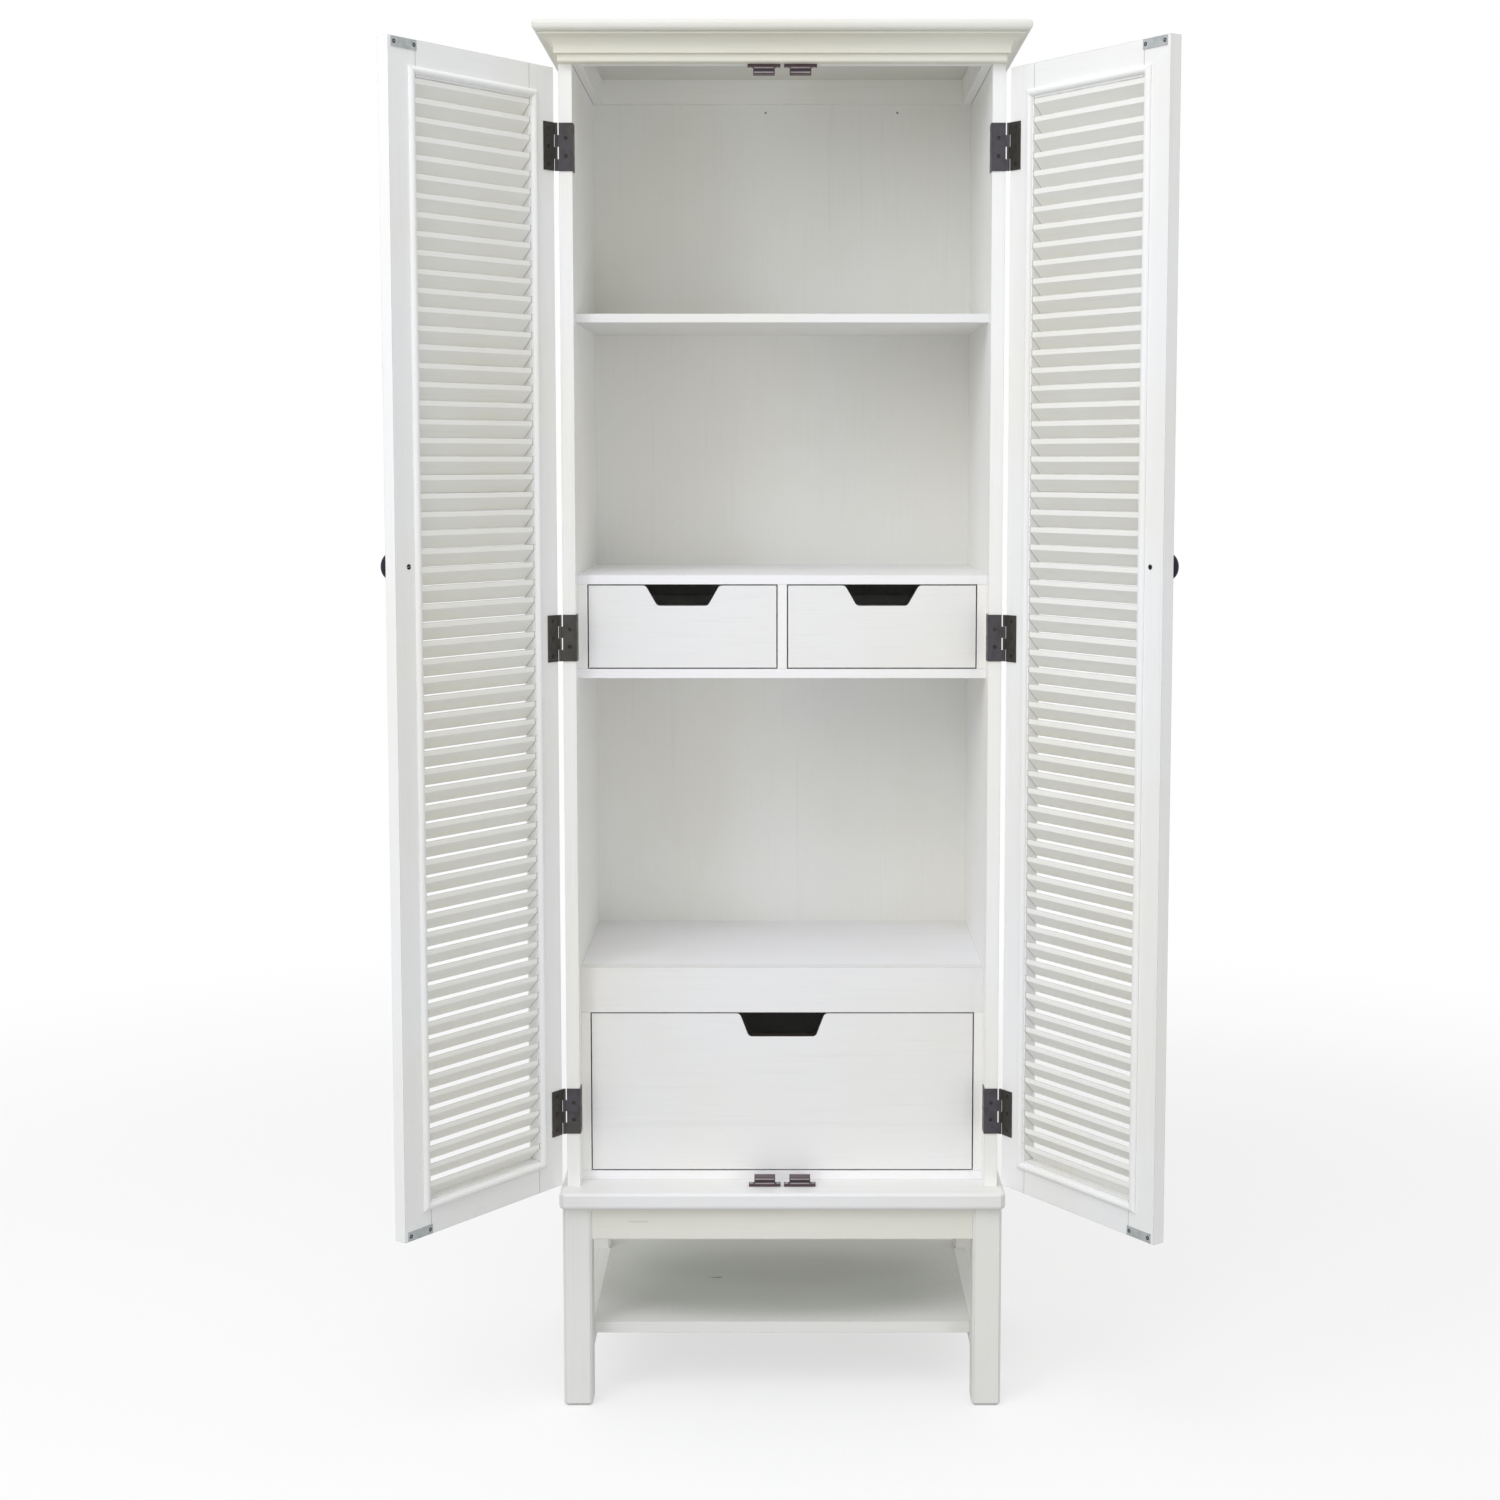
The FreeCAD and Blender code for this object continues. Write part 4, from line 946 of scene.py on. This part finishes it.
# %% Strike and knob screws
STRIKE_HEIGHTS = (0.31975, 1.83675)
STRIKE_ALONG = 0.2755
STRIKE_STEP = 0.017
STRIKE_OUT = -0.0005
STRIKE_HEAD = 0.0028
STRIKE_DOME = 0.00024
KNOB_HEIGHT = 1.186
KNOB_ALONG = 0.279
KNOB_OUT = -0.0015
KNOB_HEAD = 0.0036
KNOB_DOME = 0.0012

for door in DOORS:
    places = [
        (on_door(door, STRIKE_ALONG + step, STRIKE_OUT, height), facing_in(door))
        for height in STRIKE_HEIGHTS
        for step in (-STRIKE_STEP, STRIKE_STEP)
    ]
    name = f"{door}_strike_screws"
    screws(name, door, places, screw_black, STRIKE_HEAD, STRIKE_DOME)
    screws(
        f"{door}_knob_screw",
        door,
        [(on_door(door, KNOB_ALONG, KNOB_OUT, KNOB_HEIGHT), facing_in(door))],
        screw_black,
        KNOB_HEAD,
        KNOB_DOME,
        cross=False,
    )

# %% [markdown]
# Each catch is screwed through its two ears: the low ones down into the board below,
# the high ones up into the rail above. Two small dark nail heads show on the back wall
# just under the top rail.

# %% Catch screws and nail heads
CATCH_CENTRE = 0.0245
EAR_SCREW = 0.0183
EAR_HEIGHT = 0.004
EAR_DEPTH = 0.0045
CATCH_HEAD = 0.0025
CATCH_DOME = 0.0007
NAIL_X = (-0.025, 0.172)
NAIL_HEIGHT = 1.838
NAIL_HEAD = 0.0016
NAIL_DOME = 0.0004

housing_low, housing_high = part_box("catch_housings")
ear_y = housing_low.y + EAR_DEPTH
catch_places = []
for centre in (-CATCH_CENTRE, CATCH_CENTRE):
    for step in (-EAR_SCREW, EAR_SCREW):
        low_ear = (centre + step, ear_y, housing_low.z + EAR_HEIGHT)
        high_ear = (centre + step, ear_y, housing_high.z - EAR_HEIGHT)
        catch_places += [(low_ear, (0, 0, 1)), (high_ear, (0, 0, -1))]
screws(
    "catch_screws",
    "cabinet",
    catch_places,
    steel,
    CATCH_HEAD,
    CATCH_DOME,
)

wall_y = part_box("back_panel")[0].y
nails = [((x, wall_y, NAIL_HEIGHT), (0, -1, 0)) for x in NAIL_X]
screws(
    "back_wall_nails",
    "cabinet",
    nails,
    cabinet_bronze,
    NAIL_HEAD,
    NAIL_DOME,
)

# %% [markdown]
# ## Floor and light
# The cabinet stands in a white studio. The floor is a plain sheet: near the cabinet it
# is an ordinary white surface that takes the shadow, and further out it turns into the
# white of the backdrop, so that no horizon shows. That white, in the floor and in the
# world, is only for rays from the camera, in reflections and through glass: the light
# that falls on the cabinet is set apart from it.

# %% The studio floor
FLOOR_HALF = 9.0
FLOOR_WHITE = (0.97, 0.97, 0.97)
FLOOR_BOUNCE = (0.42, 0.42, 0.42)
FLOOR_ROUGHNESS = 0.9
FLOOR_GRAIN = 0.004
FLOOR_RELIEF = 0.00002
NEAR_GLOW = 0.6
GLOW_GROWS_FROM = 1.3
GLOW_FULL_FROM = 3.2

floor_paint = Finish("studio_floor")
seen = floor_paint.seen_studio()
floor_colour = floor_paint.blend(seen, FLOOR_BOUNCE, FLOOR_WHITE)
grain = floor_paint.clouds(FLOOR_GRAIN, detail=3)
floor_paint.finish(floor_colour, FLOOR_ROUGHNESS, grain, FLOOR_RELIEF)
reach = floor_paint.length(floor_paint.stretched((1, 1, 1)))
glow_share = floor_paint.between(reach, GLOW_GROWS_FROM, GLOW_FULL_FROM, NEAR_GLOW, 1)
glow = floor_paint.add("Emission", {"Color": (1, 1, 1), "Strength": 1}).outputs[0]
seen_glow = floor_paint.maths("MULTIPLY", seen, glow_share)
surface = floor_paint.choose(seen_glow, floor_paint.shader.outputs[0], glow)
floor_paint.feed(floor_paint.tree.nodes["Material Output"].inputs["Surface"], surface)

corners = FLOOR_HALF * np.array([(-1, -1, 0), (1, -1, 0), (1, 1, 0), (-1, 1, 0)])
floor_mesh = bpy.data.meshes.new("studio_floor")
floor_mesh.from_pydata(corners, [], [(0, 1, 2, 3)])
floor_mesh.materials.append(floor_paint.material)
studio_floor = bpy.data.objects.new("studio_floor", floor_mesh)
bpy.context.scene.collection.objects.link(studio_floor)
print("floor:", 2 * FLOOR_HALF, "m square")

# %% The world around the cabinet
WARM_FILL = (1.0, 0.995, 0.99)
AMBIENT = 0.66

world = bpy.data.worlds.new("studio")
bpy.context.scene.world = world
world.use_nodes = True
world.node_tree.nodes.clear()
sky = Nodes(world.node_tree)
soft = sky.add("Background", {"Color": WARM_FILL, "Strength": AMBIENT}).outputs[0]
white = sky.add("Background", {"Color": (1, 1, 1), "Strength": 1}).outputs[0]
backdrop = sky.choose(sky.seen_studio(), soft, white)
sky.feed(sky.add("OutputWorld").inputs["Surface"], backdrop)
print("the world lights the cabinet with", AMBIENT, "and shows as white")

# %% [markdown]
# Five square soft lamps do the rest. The key stands to the left in front of the
# cabinet, so the right door's inner face is the brightest and the left door's is a
# shade darker. Two hang high, one in front and one almost overhead, and light the tops
# of the boards. Two weak ones stand low on the right and on the left, and open the
# shadows under the boards and the slats.

# %% Lamps
DAYLIGHT = (0.93, 0.945, 1.0)
MIDDLE = (0, 0, 0.95)
UPPER_HALF = (0, 0, 1.3)


def soft_lamp(name, place, aim, side, power):
    """A square lamp of this side in metres, that looks from its place at the aim."""
    light = bpy.data.lights.new(name, "AREA")
    light.shape = "SQUARE"
    light.size = side
    light.energy = power
    light.color = DAYLIGHT
    lamp = bpy.data.objects.new(name, light)
    lamp.location = place
    direction = Vector(aim) - Vector(place)
    lamp.rotation_euler = direction.to_track_quat("-Z", "Y").to_euler()
    bpy.context.scene.collection.objects.link(lamp)
    print(name, power, "W from", round(direction.length, 2), "m")


soft_lamp("key_lamp", (-2.7, -2.75, 2.7), MIDDLE, side=1.8, power=42)
soft_lamp("high_lamp", (-0.92, -2.54, 4.17), MIDDLE, side=1.8, power=32)
soft_lamp("overhead_lamp", (0, -0.9, 3.9), MIDDLE, side=2.4, power=14)
soft_lamp("low_right_lamp", (2.64, -3.15, 0.6), MIDDLE, side=1.1, power=16.5)
soft_lamp("low_left_lamp", (-1.9, -3.4, 0.5), UPPER_HALF, side=1.1, power=8.5)

# %% [markdown]
# ## Camera
# The view is straight from the front, from chest height and three metres off, through a
# 54 mm lens. The camera looks a few degrees down, and the lens is shifted down as well,
# as on a view camera: that keeps the cabinet's uprights almost parallel.

# %% Place the camera
LENS = 54.22
SENSOR = 36
LOOK_DOWN = math.radians(5.023)
CAMERA_DISTANCE = 3.082
CAMERA_HEIGHT = 1.319
SHIFT_ACROSS = -0.0215
SHIFT_UP = -0.06

camera_data = bpy.data.cameras.new("camera")
camera_data.lens = LENS
camera_data.sensor_width = SENSOR
camera_data.shift_x = SHIFT_ACROSS
camera_data.shift_y = SHIFT_UP
camera = bpy.data.objects.new("camera", camera_data)
camera.location = (0, FRONT_EDGE_Y - CAMERA_DISTANCE, CAMERA_HEIGHT)
camera.rotation_euler = (math.pi / 2 - LOOK_DOWN, 0, 0)
bpy.context.scene.collection.objects.link(camera)
bpy.context.scene.camera = camera
bpy.context.scene.view_settings.view_transform = "Standard"
print("camera at", [round(distance, 3) for distance in camera.location])
